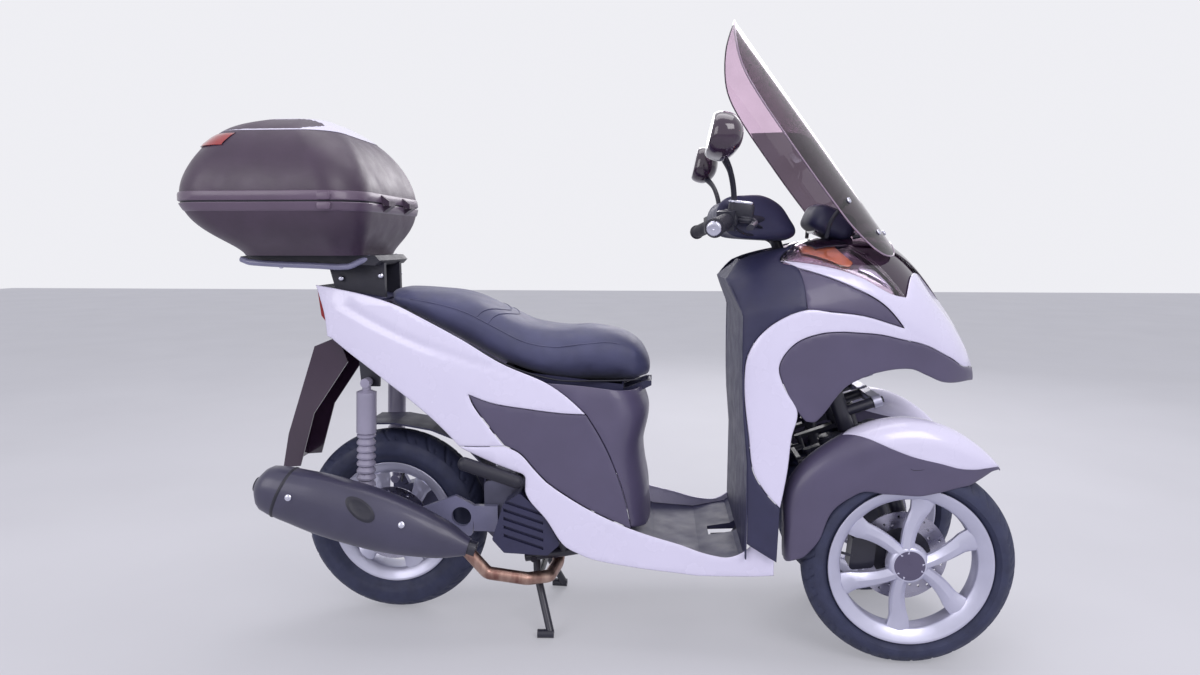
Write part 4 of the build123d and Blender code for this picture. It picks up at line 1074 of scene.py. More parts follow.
# Side-view lines on the mudguard's outer face, as (x, z)
FENDER_LOW = (
    (1495, 485), (1446, 459), (1403, 447), (1355, 436), (1307, 429), (1239, 432), (1190, 436), (1160, 420),
    (1125, 389), (1098, 320), (1076, 286), (1054, 266),
)
WEDGE_LOW = ((1414, 493), (1355, 507), (1295, 522))
FENDER_SEAM = ((1258, 512), (1284, 500), (1298, 492), (1322, 494), (1352, 498))
# The inner edge, as (angle round the wheel, v)
FENDER_INNER = ((178, 290), (165, 292), (150, 293), (132, 296), (115, 312), (97, 332), (75, 318), (60, 292))


def fender_surface(u, v):
    """The right mudguard: u runs round the wheel, v from the outer foot over the crown to the inner foot."""
    angle = 180 - u / DEGREE
    a = math.radians(angle)
    crown, shoulder, half = fender_section(angle)
    inner = v > CROWN_V
    w = 2 * CROWN_V - v if inner else v
    if w <= SIDE_V:
        r, off = FENDER_FOOT + (shoulder - FENDER_FOOT) * w / SIDE_V, half
    else:
        off, r = roof_arc(half, shoulder, crown, (w - SIDE_V) / (CROWN_V - SIDE_V))
    y = -FENDER_Y + off if inner else -FENDER_Y - off
    return Vector((FRONT_X + r * math.cos(a), y, FRONT_Z + r * math.sin(a)))


def fender_side(points):
    """Side-view points on the outer face as (u, v)."""
    made = []
    for x, z, *corner in points:
        dx, dz = x - FRONT_X, z - FRONT_Z
        angle, r = math.degrees(math.atan2(dz, dx)), math.hypot(dx, dz)
        crown, shoulder, half = fender_section(angle)
        if r <= shoulder:
            v = SIDE_V * (r - FENDER_FOOT) / (shoulder - FENDER_FOOT)
        else:
            share = bisect(lambda share: roof_arc(half, shoulder, crown, share)[1] < r)
            v = SIDE_V + (CROWN_V - SIDE_V) * share
        made.append((round_wheel(angle), v, *corner))
    return made


def round_wheel(angle):
    return (180 - angle) * DEGREE


def fenders():
    tip = (round_wheel(48.5), CROWN_V, 1)
    rear = [(round_wheel(179.5), 175, 1), (round_wheel(179.5), 262, 1)]
    outline = [tip] + fender_side(FENDER_LOW) + rear + [(round_wheel(a), v) for a, v in FENDER_INNER]
    wedge_low = fender_side(WEDGE_LOW)
    wedge = [(round_wheel(49.5), CROWN_V, 1), (round_wheel(56), 148)] + wedge_low
    wedge += [
        (round_wheel(105), 150), (round_wheel(118), CROWN_V - 4, 1), (round_wheel(104), 2 * CROWN_V - 165),
    ]
    wedge += [(u, 2 * CROWN_V - v - 20) for u, v, *_ in reversed(wedge_low)]
    wedge += [(round_wheel(56), 2 * CROWN_V - 158)]
    seam = [fender_surface(u, v) for u, v in fender_side(FENDER_SEAM)]
    for name, side in SIDES:
        fork = f"fork_{name}"
        panel(f"fender_shell_{name}", outline, fender_surface, DARK, fork, "dark_panel",
              (f"fender_{name}",), only=name, relief=fender_relief)
        panel(f"fender_wedge_{name}", wedge, fender_surface, WHITE, fork, "white_panel",
              only=name, relief=lambda u, v: WEDGE_RISE, wall=1.4, roll=1.0)
        line = [at(p.x, side * -p.y, p.z) for p in seam]
        add(f"fender_seam_{name}", join([tube(line, 1.0, 6, 6)], "seam"), BLACK, fork, "frame_steel")


def fender_relief(u, v):
    """A raised line along the outer side of the mudguard."""
    a = 180 - u / DEGREE
    line = SIDE_V * (0.55 + 0.2 * math.sin(math.radians(max(0, min(180, (a - 50) * 2)))))
    return 1.8 * math.exp(-(((v - line) / 14) ** 2)) if v < CROWN_V else 0


# Seat

# Along x: height of the seat's top, of its lower edge, and its half width
SEAT_TOP = (
    (16, 893), (40, 893), (120, 889), (211, 878), (295, 843), (340, 822), (379, 805), (463, 792),
    (546, 795), (613, 788), (663, 763), (684, 736), (697, 700),
)
SEAT_LOW = (
    (16, 862), (40, 852), (110, 824), (232, 758), (345, 698), (460, 664), (560, 660), (640, 660), (697, 664),
)
SEAT_WIDE = (
    (16, 92), (40, 112), (90, 130), (160, 140), (230, 143), (300, 143), (380, 141), (450, 134), (520, 122),
    (600, 108), (660, 94), (684, 80), (697, 56),
)
SEAT_VOXEL = 0.0055
SEAT_CAP = 7.0
SEAT_ROUND = 48
CLOTH_FRAMES = 12
PIPING = 1.7
PIPING_LIFT = 0.2


def seat():
    top, low, wide = column_curve(SEAT_TOP), column_curve(SEAT_LOW), column_curve(SEAT_WIDE)
    rings = []
    stations = [17, 19, 23, 30] + [40 + 12 * n for n in range(53)] + [672, 680, 686, 690, 692.5]
    for x in stations:
        rear_end = ((x - 14) / 26) ** 0.5 if x < 40 else 1.0
        front_end = ((696 - x) / 40) ** 0.42 if x > 656 else 1.0
        end = min(1.0, rear_end, front_end)
        z1, z0, w = top(x)[0] - 4, low(x)[0] + 3, wide(x)[0] - 5
        mid, high = (z1 + z0) / 2, (z1 - z0) / 2 * (0.55 + 0.45 * end)
        ring = []
        for n in range(SEAT_ROUND):
            angle = 2 * math.pi * n / SEAT_ROUND
            c, s = math.cos(angle), math.sin(angle)
            y = w * (0.45 + 0.55 * end) * math.copysign(abs(c) ** 0.55, c)
            rise = math.copysign(abs(s) ** 0.62, s)
            z = mid + high * rise
            if s > 0:
                z -= 9 * (abs(y) / w) ** 2.4 * rise
            else:
                y *= 1 - 0.05 * abs(s)
            ring.append(at(x, y, z))
        rings.append(ring)
    mesh = mesh_of("seat_pad", *ring_surface(rings))
    piece = add("seat_pad", mesh, SEAT, "seat", "seat_cover", ("seat",), angle=None)
    inflate(piece, SEAT_VOXEL, SEAT_CAP)
    subdivide(piece, 1)
    seat_trim(piece)


def inflate(piece, voxel, cap):
    """Remeshes a pad and lets air pressure round it, each point moving no more than cap mm."""
    remesh = piece.modifiers.new("remesh", "REMESH")
    remesh.mode = "VOXEL"
    remesh.voxel_size = voxel
    remesh.use_smooth_shade = True
    fix_mesh(piece)
    start = [v.co.copy() for v in piece.data.vertices]
    cloth = piece.modifiers.new("cloth", "CLOTH")
    cloth.settings.quality = 5
    cloth.settings.use_pressure = True
    cloth.settings.uniform_pressure_force = 4
    cloth.settings.effector_weights.gravity = 0
    scene = bpy.context.scene
    for number in range(1, CLOTH_FRAMES + 1):
        scene.frame_set(number)
    fix_mesh(piece)
    scene.frame_set(1)
    for vertex, rest in zip(piece.data.vertices, start):
        move = vertex.co - rest
        if move.length > cap * MM:
            vertex.co = rest + move.normalized() * cap * MM
    soften(piece.data, 6)


def soften(mesh, rounds):
    bm = bmesh.new()
    bm.from_mesh(mesh)
    for _ in range(rounds):
        bmesh.ops.smooth_vert(
            bm, verts=bm.verts, factor=0.5, use_axis_x=True, use_axis_y=True, use_axis_z=True,
        )
    bm.to_mesh(mesh)
    bm.free()


def fix_mesh(piece):
    """Turns what the modifiers show into the piece's own mesh."""
    depsgraph = bpy.context.evaluated_depsgraph_get()
    depsgraph.update()
    made = bpy.data.meshes.new_from_object(piece.evaluated_get(depsgraph))
    old = piece.data
    piece.modifiers.clear()
    piece.data = made
    for polygon in made.polygons:
        polygon.use_smooth = True
    bpy.data.meshes.remove(old)


def drape(tree, points):
    """Points (x, y) laid on the top of a mesh."""
    made = []
    for x, y in points:
        start = at(x, y, 1000)
        hit, normal, _, _ = tree.ray_cast(start, Vector((0, 0, -1)))
        if hit:
            made.append(hit + normal * PIPING_LIFT * MM)
    return made


def seat_trim(piece):
    """Piping across and along the pad, and the dark edge under it."""
    tree = BVHTree.FromObject(piece, bpy.context.evaluated_depsgraph_get())
    lines = []
    for bow, x in ((34, 300), (30, 322)):
        shares = [k / 12 for k in range(-12, 13)]
        lines.append([(x - bow * (abs(t) ** 1.6) * 1.9 + 24, 128 * t) for t in shares])
    for side in (-1, 1):
        lines.append([(x, side * (w - 15)) for x, w in SEAT_WIDE[2:-1]])
    pipes = [tube(drape(tree, line), PIPING, 8, 4) for line in lines]
    add("seat_piping", join(pipes, "piping"), SEAT, "seat", "seat_cover", angle=None)
    low, wide = column_curve(SEAT_LOW), column_curve(SEAT_WIDE)
    base = []
    for side in (-1, 1):
        line = [at(x, side * (wide(x)[0] - 7), low(x)[0] + 5) for x in range(30, 690, 22)]
        base.append(tube(line, 2.4, 8, 2))
    add("seat_edge", join(base, "edge"), BLACK, "seat", "navy_plastic", angle=None)


# Mirrors, screen and bars


def squared(value, power):
    """A sine or cosine drawn out towards a square form."""
    return math.copysign(abs(value) ** (2 / power), value)


def egg(centre, size, power=(2.6, 2.6), tilt=0.0, steps=(24, 40), shape=None):
    """A rounded box form: size is half lengths in mm, power how square it is."""
    rings = []
    for n in range(1, steps[0]):
        phi = math.pi * n / steps[0] - math.pi / 2
        ring = []
        c = squared(math.cos(phi), power[0])
        for k in range(steps[1]):
            angle = 2 * math.pi * k / steps[1]
            p = [
                size[0] * c * squared(math.cos(angle), power[1]),
                size[1] * c * squared(math.sin(angle), power[1]),
                size[2] * squared(math.sin(phi), power[0]),
            ]
            if shape:
                p = shape(*p)
            x, y, z = p
            x, z = x * math.cos(tilt) - z * math.sin(tilt), x * math.sin(tilt) + z * math.cos(tilt)
            ring.append(at(centre[0] + x, centre[1] + y, centre[2] + z))
        rings.append(ring)
    return ring_surface(rings)


MIRROR = (842, 330, 1234)
MIRROR_SIZE = (42, 70, 50)
MIRROR_POWER = (2.5, 2.7)
MIRROR_TILT = math.radians(12)


def mirror_taper(y, side):
    return 1 - 0.14 * (y * side / MIRROR_SIZE[1])


def mirrors():
    heads, glasses, stems = [], [], []
    for _, side in SIDES:
        x, y, z = MIRROR

        def cup(px, py, pz):
            """Flat towards the rider, domed ahead, a little narrower at the outer end."""
            dome = px * (1 - 0.25 * (pz / MIRROR_SIZE[2]) ** 2)
            return max(px, -26) if px < 0 else dome, py, pz * mirror_taper(py, side)

        def flat(px, py, pz):
            return -26.6 + px * 0.02, py * 0.86, pz * mirror_taper(py, side) * 0.84

        heads.append(egg((x, side * y, z), MIRROR_SIZE, MIRROR_POWER, -MIRROR_TILT, shape=cup))
        glasses.append(egg((x, side * y, z), MIRROR_SIZE, MIRROR_POWER, -MIRROR_TILT, (14, 40), flat))
        stem = [
            at(880, side * 205, 1070), at(880, side * 212, 1120), at(868, side * 246, 1166),
            at(848, side * 292, 1196),
        ]
        stems.append(tube(stem, [7, 6.5, 6.5, 9], 14, 6))
        boot = rounded(((0.01, -10), (11, -10), (11, 8), (0.01, 8)), 3)
        stems.append(lathe(boot, at(880, side * 205, 1082), (0, 0.05, 1), 24))
    add("mirror_heads", join(heads, "heads"), MAROON, "steering", "dark_panel", ("mirrors",), angle=40)
    add("mirror_glasses", join(glasses, "faces"), GLASS_BACK, "steering", "alloy", angle=40)
    add("mirror_stems", join(stems, "stems"), BLACK, "steering", "frame_steel")


SCREEN_BASE = Vector((1305, 0, 984))
SCREEN_TIP = Vector((888, 0, 1552))
SCREEN_R = 245.0
SCREEN_UP = (SCREEN_TIP - SCREEN_BASE).normalized()
SCREEN_OUT = Vector((SCREEN_UP.z, 0, -SCREEN_UP.x))
SCREEN_LINE = (
    (0, 40), (70, 30), (122, 18), (160, 44), (182, 120), (188, 230), (189, 380), (186, 520), (176, 590),
    (150, 640), (110, 676), (60, 694), (0, 699),
)


# Screws on the screen, and the stays behind the outer ones: (y, s) on the sheet, then the stay's foot
SCREEN_SCREWS = ((-118, 84), (118, 84), (-150, 190), (150, 190), (-60, 66), (60, 66))
SCREEN_STAYS = (((118, 84), (1178, 100, 1022)), ((150, 190), (1110, 120, 1022)))


def screen_surface(y, s):
    """The curved sheet: y across to the left, s up along it."""
    y = max(-SCREEN_R + 1, min(SCREEN_R - 1, y))
    drop = SCREEN_R - math.sqrt(SCREEN_R * SCREEN_R - y * y)
    p = SCREEN_BASE + SCREEN_UP * s - SCREEN_OUT * drop
    return Vector((p.x, y, p.z))


def screen_frame(y, s):
    """A place on the sheet and its normal towards the front."""
    place, normal = surface_frame(screen_surface, y, s)
    return place, normal if normal.x > 0 else -normal


def screen():
    loop = list(SCREEN_LINE) + [(-y, s) for y, s in reversed(SCREEN_LINE[1:-1])]
    panel("screen_sheet", loop, screen_surface, SMOKE, "body", "smoked", ("windscreen",),
          mirrored=False, wall=4, roll=0)
    rim = [screen_surface(p.x, p.y) for p in smooth_loop(loop, 16)]
    rim.append(rim[0])
    edge = tube([at(*p) for p in rim], 1.9, 8, 1)
    add("screen_edge", join([edge], "edge"), SCREEN_RIM, "body", "smoked", angle=None)
    bolts, pads = [], []
    for y, s in SCREEN_SCREWS:
        p, normal = screen_frame(y, s)
        bolts.append(lathe(domed_head(7, 0.2, 3.2, 4, 5), at(*p), normal, 20))
        pads.append(lathe(bolt_head(9, -9, -4.2), at(*p), normal, 20))
    add("screen_bolts", join(bolts, "bolts"), CHROME, "body", "alloy")
    add("screen_pads", join(pads, "pads"), BLACK, "body", "frame_steel")
    stays = []
    for side in (-1, 1):
        for (y, s), (foot_x, foot_y, foot_z) in SCREEN_STAYS:
            top, normal = screen_frame(side * y, s)
            inner = top - normal * 8
            bend = at((inner.x + foot_x) / 2 - 10, side * (y + foot_y) / 2, (inner.z + foot_z) / 2)
            stays.append(tube([at(*inner), bend, at(foot_x, side * foot_y, foot_z)], 5, 10, 6))
    add("screen_stays", join(stays, "stays"), BLACK, "body", "frame_steel")


def domed_head(radius, low, shoulder, crown_radius, high):
    """Profile of a bolt head with a domed top."""
    return rounded(((0.01, low), (radius, low), (radius, shoulder), (crown_radius, high), (0.01, high)), 1)


GRIP_INNER = (862, 228, 1058.5)
GRIP_OUTER = (827, 356, 1040.3)
GRIP_RIBS = 14
SWITCH_BOX = (898, 196, 1082)
SWITCH_TILT = -0.12
LEVER_LINE = ((893, 212, 1068), (921, 236, 1060), (922, 280, 1052), (904, 350, 1042))
HOSES = (
    # radius, then the route from the lever down into the steering head
    (3.6, ((905, 190, 1062), (940, 150, 1052), (975, 85, 1036), (1002, 36, 1016), (1014, 16, 990),
           (1024, 12, 950))),
    (3.0, ((880, 200, 1046), (915, 160, 1030), (960, 95, 1026), (1000, 42, 1012), (1010, 20, 985),
           (1020, 16, 950))),
)


def on_side(points, side):
    return [at(x, side * y, z) for x, y, z in points]


def grip_profile(length):
    """A ribbed rubber grip with a flange at each end."""
    profile = [(0.01, 0), (20, 0), (20, 4)]
    for n in range(GRIP_RIBS):
        z = 8 + n * (length - 20) / GRIP_RIBS
        profile += [(17.2, z), (18.6, z + 2.5), (18.6, z + 5)]
    return profile + [(17.4, length - 8), (21, length - 6), (21, length - 1), (17, length), (0.01, length)]


def bars():
    rubber, switch, bright, levers, hoses = [], [], [], [], []
    for _, side in SIDES:
        inner = Vector((GRIP_INNER[0], side * GRIP_INNER[1], GRIP_INNER[2]))
        outer = Vector((GRIP_OUTER[0], side * GRIP_OUTER[1], GRIP_OUTER[2]))
        along = (outer - inner).normalized()
        length = (outer - inner).length
        rubber.append(lathe(grip_profile(length), at(*inner), along, 28))
        cap = rounded((
            (0.01, length), (15, length), (17, length + 3), (15, length + 13), (0.01, length + 14),
        ), 3)
        bright.append(lathe(cap, at(*inner), along, 28))
        pod = rounded(((0.01, -40), (20, -40), (25, -32), (25, -6), (20, -1), (0.01, -1)), 5)
        switch.append(lathe(pod, at(*inner), along, 24))
        x, y, z = SWITCH_BOX
        switch.append(egg((x, side * y, z), (30, 24, 20), (5, 4), SWITCH_TILT, (12, 24)))
        bright.append(egg((x, side * y, z + 19), (29, 23, 3.5), (5, 4), SWITCH_TILT, (8, 24)))
        levers.append(tube(on_side(LEVER_LINE, side), [6, 5.5, 5, 6.5], 12, 6))
        hoses += [tube(on_side(route, side), radius, 8, 6) for radius, route in HOSES]
    add("grips", join(rubber, "grips"), BLACK, "steering", "navy_plastic", angle=50)
    add("switch_pods", join(switch, "pods"), BLACK, "steering", "navy_plastic", angle=45)
    add("bar_caps", join(bright, "caps"), CHROME, "steering", "alloy", angle=40)
    add("lever_blades", join(levers, "levers"), STEEL, "steering", "frame_steel")
    add("bar_hoses", join(hoses, "hoses"), BLACK, "steering", "frame_steel")


# Side-view outline of the bars' cover, and how far ahead it reaches at each half width
BAR_COVER_LINE = (
    (846, 1084), (872, 1108), (915, 1122), (960, 1125), (1004, 1104), (1030, 1070), (1046, 1034),
    (1022, 1016), (985, 1016), (930, 1031), (880, 1040), (856, 1056),
)
BAR_COVER_PLAN = (
    (0, 1050), (40, 1048), (70, 1044), (90, 1016), (110, 980), (135, 940), (150, 912), (160, 894),
    (166, 878),
)
BAR_COVER_HALF = 165
BAR_COVER_STEPS = 22


def bar_cover():
    """The moulded cover of the bars, its front rounded back towards the grips."""
    reach = column_curve(BAR_COVER_PLAN)
    line = smooth_loop(BAR_COVER_LINE, 6)
    rear, front = min(p.x for p in line), max(p.x for p in line)
    middle = sum(p.y for p in line) / len(line)
    rings = []
    for n in range(-BAR_COVER_STEPS, BAR_COVER_STEPS + 1):
        y = BAR_COVER_HALF * math.sin(math.pi / 2 * n / BAR_COVER_STEPS)
        share = (reach(abs(y))[0] - rear) / (front - rear)
        close = 1 - 0.45 * (abs(n) / BAR_COVER_STEPS) ** 8
        high = close * (0.82 + 0.18 * share)
        rings.append([at(rear + (p.x - rear) * share, y, middle + (p.y - middle) * high) for p in line])
    cover = mesh_of("shell", *ring_surface(rings))
    add("bar_shell", cover, NAVY, "steering", "navy_plastic", ("bar_cover",), angle=40)
    shell = egg((1138, 0, 1058), (58, 94, 36), (4, 4), -0.42, (16, 40))
    add("instrument_shell", join([shell], "shell"), NAVY, "body", "navy_plastic",
        ("instrument_panel",), angle=40)
    face = egg((1106, 0, 1052), (5, 62, 21), (4, 6), -0.42, (10, 36))
    add("instrument_face", join([face], "face"), SCREEN_FACE, "body", "navy_plastic", angle=40)


# Silencer: the two ends of its middle line
PIPE_A = Vector((-286, -205, 408))
PIPE_B = Vector((244, -196, 256))
# share of the length, half height, half width
CAN = (
    (0.0, 34, 34), (0.05, 58, 46), (0.2, 71, 51), (0.35, 78, 54), (0.62, 74, 52), (0.88, 48, 38),
    (1.0, 22, 22),
)
CAN_ROUND = 72
CAN_SHARES = (
    [0.0, 0.004, 0.012, 0.03, 0.05, 0.09, 0.14] + [0.2 + 0.05 * n for n in range(14)]
    + [0.88, 0.92, 0.96, 1.0]
)
# The seam's band round the can as (share, lift), and the slot's rings as (size, lift)
CAN_SEAM = ((0.118, -1.6), (0.124, 0.6), (0.13, 0.6), (0.136, -1.6))
CAN_SLOT = ((1.18, 0.6), (1.0, 1.8), (0.86, 1.4), (0.72, -0.6), (0.0, -0.4))
CAN_BOLTS = ((0.185, 10), (0.70, 22))
can_section = column_curve(CAN)


def can_point(share, angle, lift=0.0):
    """A point of the silencer's skin: angle 0 is the outer side, 90 degrees the top."""
    along = (PIPE_B - PIPE_A).normalized()
    up = Vector((0, 1, 0)).cross(along).normalized()
    up = up if up.z > 0 else -up
    high, wide = can_section(share)
    c, s = math.cos(angle), math.sin(angle)
    ridge = 1 + 0.035 * math.cos(3 * angle)
    wide_at = (wide + lift) * ridge * math.copysign(abs(c) ** 0.8, c)
    high_at = (high + lift) * math.copysign(abs(s) ** 0.92, s)
    return PIPE_A + (PIPE_B - PIPE_A) * share + Vector((0, -1, 0)) * wide_at + up * high_at


def can_seam():
    rings = []
    for share, lift in CAN_SEAM:
        ring = []
        for k in range(CAN_ROUND):
            angle = 2 * math.pi * k / CAN_ROUND
            ring.append(at(*can_point(share + 0.02 * math.sin(angle), angle, lift)))
        rings.append(ring)
    return mesh_of("seam", *ring_surface(rings, caps=False))


def can_slot():
    rings = []
    for size, lift in CAN_SLOT:
        ring = []
        for k in range(40):
            a = 2 * math.pi * k / 40
            share = 0.505 + 0.062 * size * math.cos(a)
            angle = math.radians(27 + 15 * size * math.sin(a) - 8 * size * math.cos(a))
            ring.append(at(*can_point(share, angle, lift)))
        rings.append(ring)
    return mesh_of("slot", *ring_surface(rings, caps=False))


def can_bolts():
    bolts = []
    for share, degrees in CAN_BOLTS:
        angle = math.radians(degrees)
        p = can_point(share, angle)
        normal = (can_point(share, angle, 5) - p).normalized()
        bolts.append(lathe(domed_head(8.5, -1, 2.5, 5, 4.5), at(*p), normal, 24))
        bolts.append(lathe(rounded(((0.01, 4), (3.6, 4), (3.6, 5.5), (0.01, 5.5)), 0.6), at(*p), normal, 6))
    return join(bolts, "bolts")


def silencer():
    rings = []
    for share in CAN_SHARES:
        squeeze = -14 * (1 - min(1, share / 0.05)) ** 2 if share < 0.05 else -1.0
        turns = [2 * math.pi * k / CAN_ROUND for k in range(CAN_ROUND)]
        rings.append([at(*can_point(share, angle, squeeze)) for angle in turns])
    add("silencer_body", mesh_of("can", *ring_surface(rings)), MUFFLER, "body", "muffler",
        ("muffler",), angle=40)
    add("silencer_seam", can_seam(), BLACK, "body", "muffler", angle=60)
    add("silencer_bolts", can_bolts(), CHROME, "body", "alloy")
    add("silencer_slot", can_slot(), BLACK, "body", "muffler", angle=50)
    end = rounded(((0.01, -4), (14, -4), (17, -8), (19, 2), (0.01, 6)), 2)
    tail = (PIPE_A - PIPE_B).normalized()
    outlet = join([lathe(end, at(*(PIPE_A + tail * 2)), tail, 32)], "outlet")
    add("silencer_outlet", outlet, BLACK, "body", "muffler")
    clamp = rounded(((15, -12), (19, -12), (19, 12), (15, 12)), 1)
    clamp = join([lathe(clamp, at(*(PIPE_B - tail * 8)), tail, 32)], "clamp")
    add("pipe_clamp", clamp, STEEL, "body", "frame_steel")


# Top box

# height, rear end, front end, half width, corner radius
CASE = (
    (978, -330, -30, 165, 60),
    (1030, -390, -2, 222, 80),
    (1106, -447, 20, 261, 95),
    (1200, -426, -4, 246, 95),
    (1272, -376, -62, 196, 85),
    (1312, -290, -120, 120, 60),
)
case_section = column_curve(CASE)
CORNER_STEPS = 9
# Rings of the bands round the case, as (height, lift)
LID_BELT = ((1108, -1), (1108, 3), (1110, 4.2), (1124, 3.4), (1129, 2.2), (1131, -1))
BASE_BELT = ((1082, -1), (1084, 2.2), (1088, 3.4), (1102, 4.2), (1104, 3), (1104, -1))
LID_SEAL = ((1104.2, -0.6), (1104.6, 0.6), (1107.4, 0.6), (1107.8, -0.6))
LID_COVER = ((1276, -0.8), (1277, 1.6), (1284, 2.0), (1296, 2.0), (1306, 1.8), (1311.5, 0.5), (1313.4, -3))
REFLECTOR_ROWS = ((1238, -0.8), (1239, 1.6), (1246, 2.4), (1262, 2.4), (1269, 1.6), (1270, -0.8))
REFLECTOR_FRONT = -300
RAIL_LINE = (
    (-350, 104, 968), (-320, 112, 960), (-150, 114, 952), (-70, 112, 950), (-40, 108, 962), (-14, 100, 972),
)
CARRIER_BOLTS = ((-262, 950), (-120, 946), (-104, 918), (0, 925))


def case_ring(z, lift):
    """The case's outline at a height, as (x, y) points."""
    rear, front, half, corner = case_section(z)
    rear, front, half = rear - lift, front + lift, half + lift
    made = []
    for cx, cy, start in ((front - corner, half - corner, 0), (rear + corner, half - corner, 90),
                          (rear + corner, corner - half, 180), (front - corner, corner - half, 270)):
        for k in range(CORNER_STEPS):
            a = math.radians(start + 90 * k / (CORNER_STEPS - 1))
            made.append((cx + corner * math.cos(a), cy + corner * math.sin(a)))
    return made


def case_band(name, rows, finish, body, slot, caps=False, keep=None):
    """A band round the case through (z, lift) rows."""
    rings = [[at(x, y, z) for x, y in case_ring(z, lift)] for z, lift in rows]
    verts, faces = ring_surface(rings, caps=caps)
    if keep:
        faces = [f for f in faces if keep(sum((verts[i] for i in f), Vector()) / len(f))]
    return add(name, mesh_of(name, verts, faces), finish, body, slot, angle=40)


def top_box():
    def at_rear(p):
        return p.x < (REFLECTOR_FRONT - ORIGIN_X) * MM

    case_band("lid_belt", LID_BELT, CASE_TRIM, "lid", "case")
    case_band("base_belt", BASE_BELT, CASE_TRIM, "body", "case")
    case_band("lid_seal", LID_SEAL, BLACK, "lid", "case")
    case_band("lid_cover", LID_COVER, WHITE, "lid", "white_panel", caps=True)
    case_band("lid_reflector", REFLECTOR_ROWS, RED, "lid", "red_lens", keep=at_rear)
    latch = egg((-449, 0, 1098), (7, 36, 22), (5, 5), 0, (12, 28))
    add("case_latch", join([latch], "latch"), BLACK, "body", "case")
    for name, mesh_name, body, z in (
        ("case_blocks", "blocks", "body", 1095), ("lid_blocks", "lid_blocks", "lid", 1117),
    ):
        blocks = [egg((-60, side * 262, z), (17, 5, 9), (5, 5), 0, (10, 24)) for side in (-1, 1)]
        add(name, join(blocks, mesh_name), CASE_TRIM, body, "case")
    rails, bolts = [], []
    for side in (-1, 1):
        rails.append(tube(on_side(RAIL_LINE, side), 8, 12, 6))
        for x, z in CARRIER_BOLTS:
            bolts.append(lathe(domed_head(7, 0, 4, 4, 6), at(x, side * 72, z), (0, side, 0), 20))
    add("carrier_rails", join(rails, "rails"), CARRIER, "body", "alloy")
    add("carrier_bolts", join(bolts, "bolts"), CHROME, "body", "alloy")


# Stage

CAMERA = (702.0, -2005.1, 1011.9)
YAW, PITCH = 0.071, 0.124
FOCAL_PX = 768.2
FRAME_W = 1200
SENSOR = 36
FLOOR_HALF = 14
FLOOR_CELLS = 8
FLOOR_GLOW = 0.42
LAMPS = (
    # name, place, aimed at, width, height, power
    ("key", (2.2, -3.4, 3.4), (0.1, 0, 0.6), 2.6, 2.2, 84),
    ("fill", (-2.8, -3.0, 2.2), (-0.1, 0, 0.6), 2.4, 2.0, 40),
    ("top", (0.0, 0.4, 3.9), (0.0, 0, 0.5), 3.4, 2.2, 46),
    ("rim", (1.0, 3.4, 2.6), (0.1, 0, 0.7), 2.6, 1.8, 52),
)


def camera():
    aim = Vector((
        -math.sin(YAW) * math.cos(PITCH), math.cos(YAW) * math.cos(PITCH), -math.sin(PITCH),
    ))
    data = bpy.data.cameras.new("camera")
    eye = bpy.data.objects.new("camera", data)
    bpy.context.scene.collection.objects.link(eye)
    eye.location = at(*CAMERA)
    eye.rotation_euler = aim.to_track_quat("-Z", "Y").to_euler()
    data.sensor_width = SENSOR
    data.lens = SENSOR * FOCAL_PX / FRAME_W
    data.clip_start = 0.01
    bpy.context.scene.camera = eye


def background_rays(tree):
    """1 for the rays that show the background: straight, through glass or off a gloss."""
    path = tree.nodes.new("ShaderNodeLightPath")
    shown = path.outputs["Is Camera Ray"]
    for kind in ("Is Transmission Ray", "Is Glossy Ray"):
        either = tree.nodes.new("ShaderNodeMath")
        either.operation = "MAXIMUM"
        tree.links.new(shown, either.inputs[0])
        tree.links.new(path.outputs[kind], either.inputs[1])
        shown = either.outputs[0]
    return shown


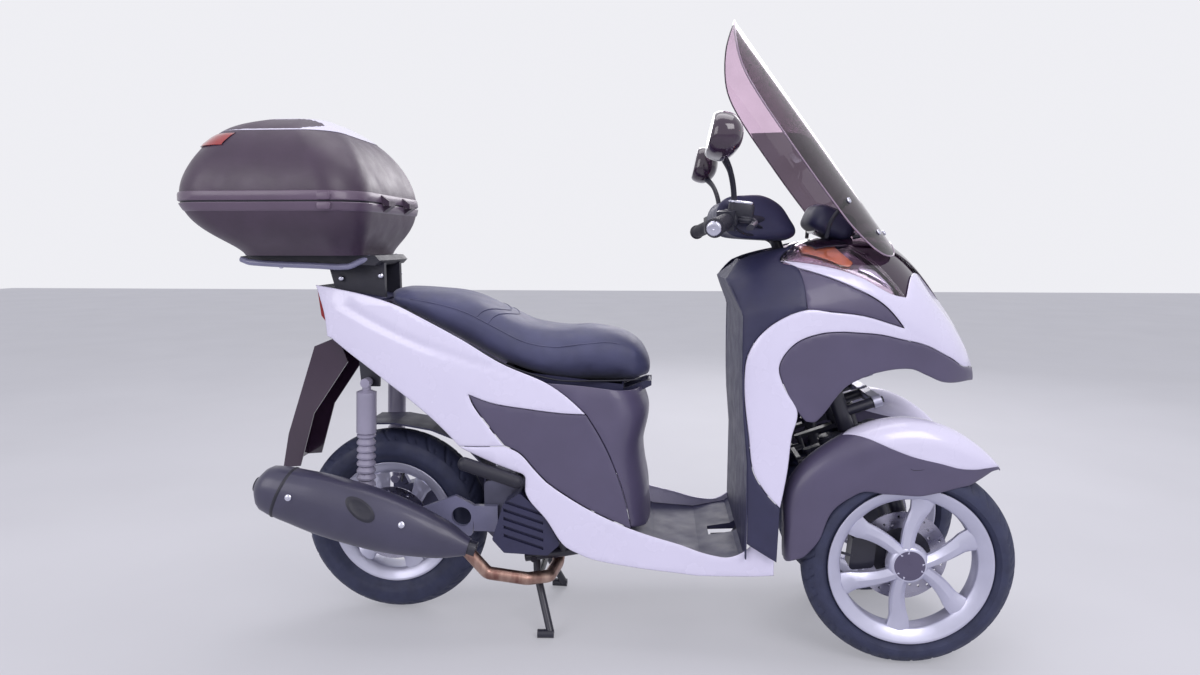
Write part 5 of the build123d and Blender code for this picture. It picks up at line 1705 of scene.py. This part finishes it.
def world():
    sky = bpy.data.worlds.new("world")
    bpy.context.scene.world = sky
    sky.use_nodes = True
    tree = sky.node_tree
    back = tree.nodes["Background"]
    back.inputs["Color"].default_value = (0.80, 0.80, 0.92, 1)
    back.inputs["Strength"].default_value = 0.62
    pale = tree.nodes.new("ShaderNodeBackground")
    pale.inputs["Color"].default_value = (0.86, 0.86, 0.9, 1)
    pale.inputs["Strength"].default_value = 1.0
    mix = tree.nodes.new("ShaderNodeMixShader")
    tree.links.new(background_rays(tree), mix.inputs["Fac"])
    tree.links.new(back.outputs[0], mix.inputs[1])
    tree.links.new(pale.outputs[0], mix.inputs[2])
    tree.links.new(mix.outputs[0], tree.nodes["World Output"].inputs["Surface"])


def floor_paint():
    ground = Finish("floor_paint").colour((0.62, 0.62, 0.66), 0.03, 1.2).gloss(0.6, 0.75, 2)
    glow = ground.node("ShaderNodeEmission", Strength=1.0)
    glow.inputs["Color"].default_value = (0.66, 0.66, 0.71, 1)
    part = ground.node("ShaderNodeMath", operation="MULTIPLY")
    part.inputs[1].default_value = FLOOR_GLOW
    blend = ground.tree.nodes.new("ShaderNodeMixShader")
    ground.link(background_rays(ground.tree), part.inputs[0])
    ground.link(part.outputs[0], blend.inputs["Fac"])
    ground.link(ground.shader.outputs[0], blend.inputs[1])
    ground.link(glow.outputs[0], blend.inputs[2])
    ground.link(blend.outputs[0], ground.tree.nodes["Material Output"].inputs["Surface"])
    return ground.material


def floor():
    row = FLOOR_CELLS + 1
    step = 2 * FLOOR_HALF / FLOOR_CELLS
    verts = [(-FLOOR_HALF + step * i, -FLOOR_HALF + step * j, 0) for i in range(row) for j in range(row)]
    corners = [i * row + j for i in range(FLOOR_CELLS) for j in range(FLOOR_CELLS)]
    faces = [(a, a + row, a + row + 1, a + 1) for a in corners]
    ground = bpy.data.objects.new("floor", mesh_of("floor", verts, faces))
    bpy.context.scene.collection.objects.link(ground)
    ground.data.materials.append(floor_paint())


def lamps():
    for name, place, target, width, height, power in LAMPS:
        light = bpy.data.lights.new(name, "AREA")
        light.shape = "RECTANGLE"
        light.size, light.size_y = width, height
        light.energy = power
        light.color = (1.0, 0.97, 1.0)
        lamp = bpy.data.objects.new(name, light)
        bpy.context.scene.collection.objects.link(lamp)
        lamp.location = place
        lamp.rotation_euler = (Vector(target) - Vector(place)).to_track_quat("-Z", "Y").to_euler()


def stage():
    camera()
    world()
    floor()
    lamps()
    bpy.context.scene.view_settings.view_transform = "Standard"


# The whole part

stage()
dress_cad()
front_panels()
rear_panels()
tyres()
rims()
fenders()
seat()
mirrors()
screen()
bars()
bar_cover()
silencer()
top_box()
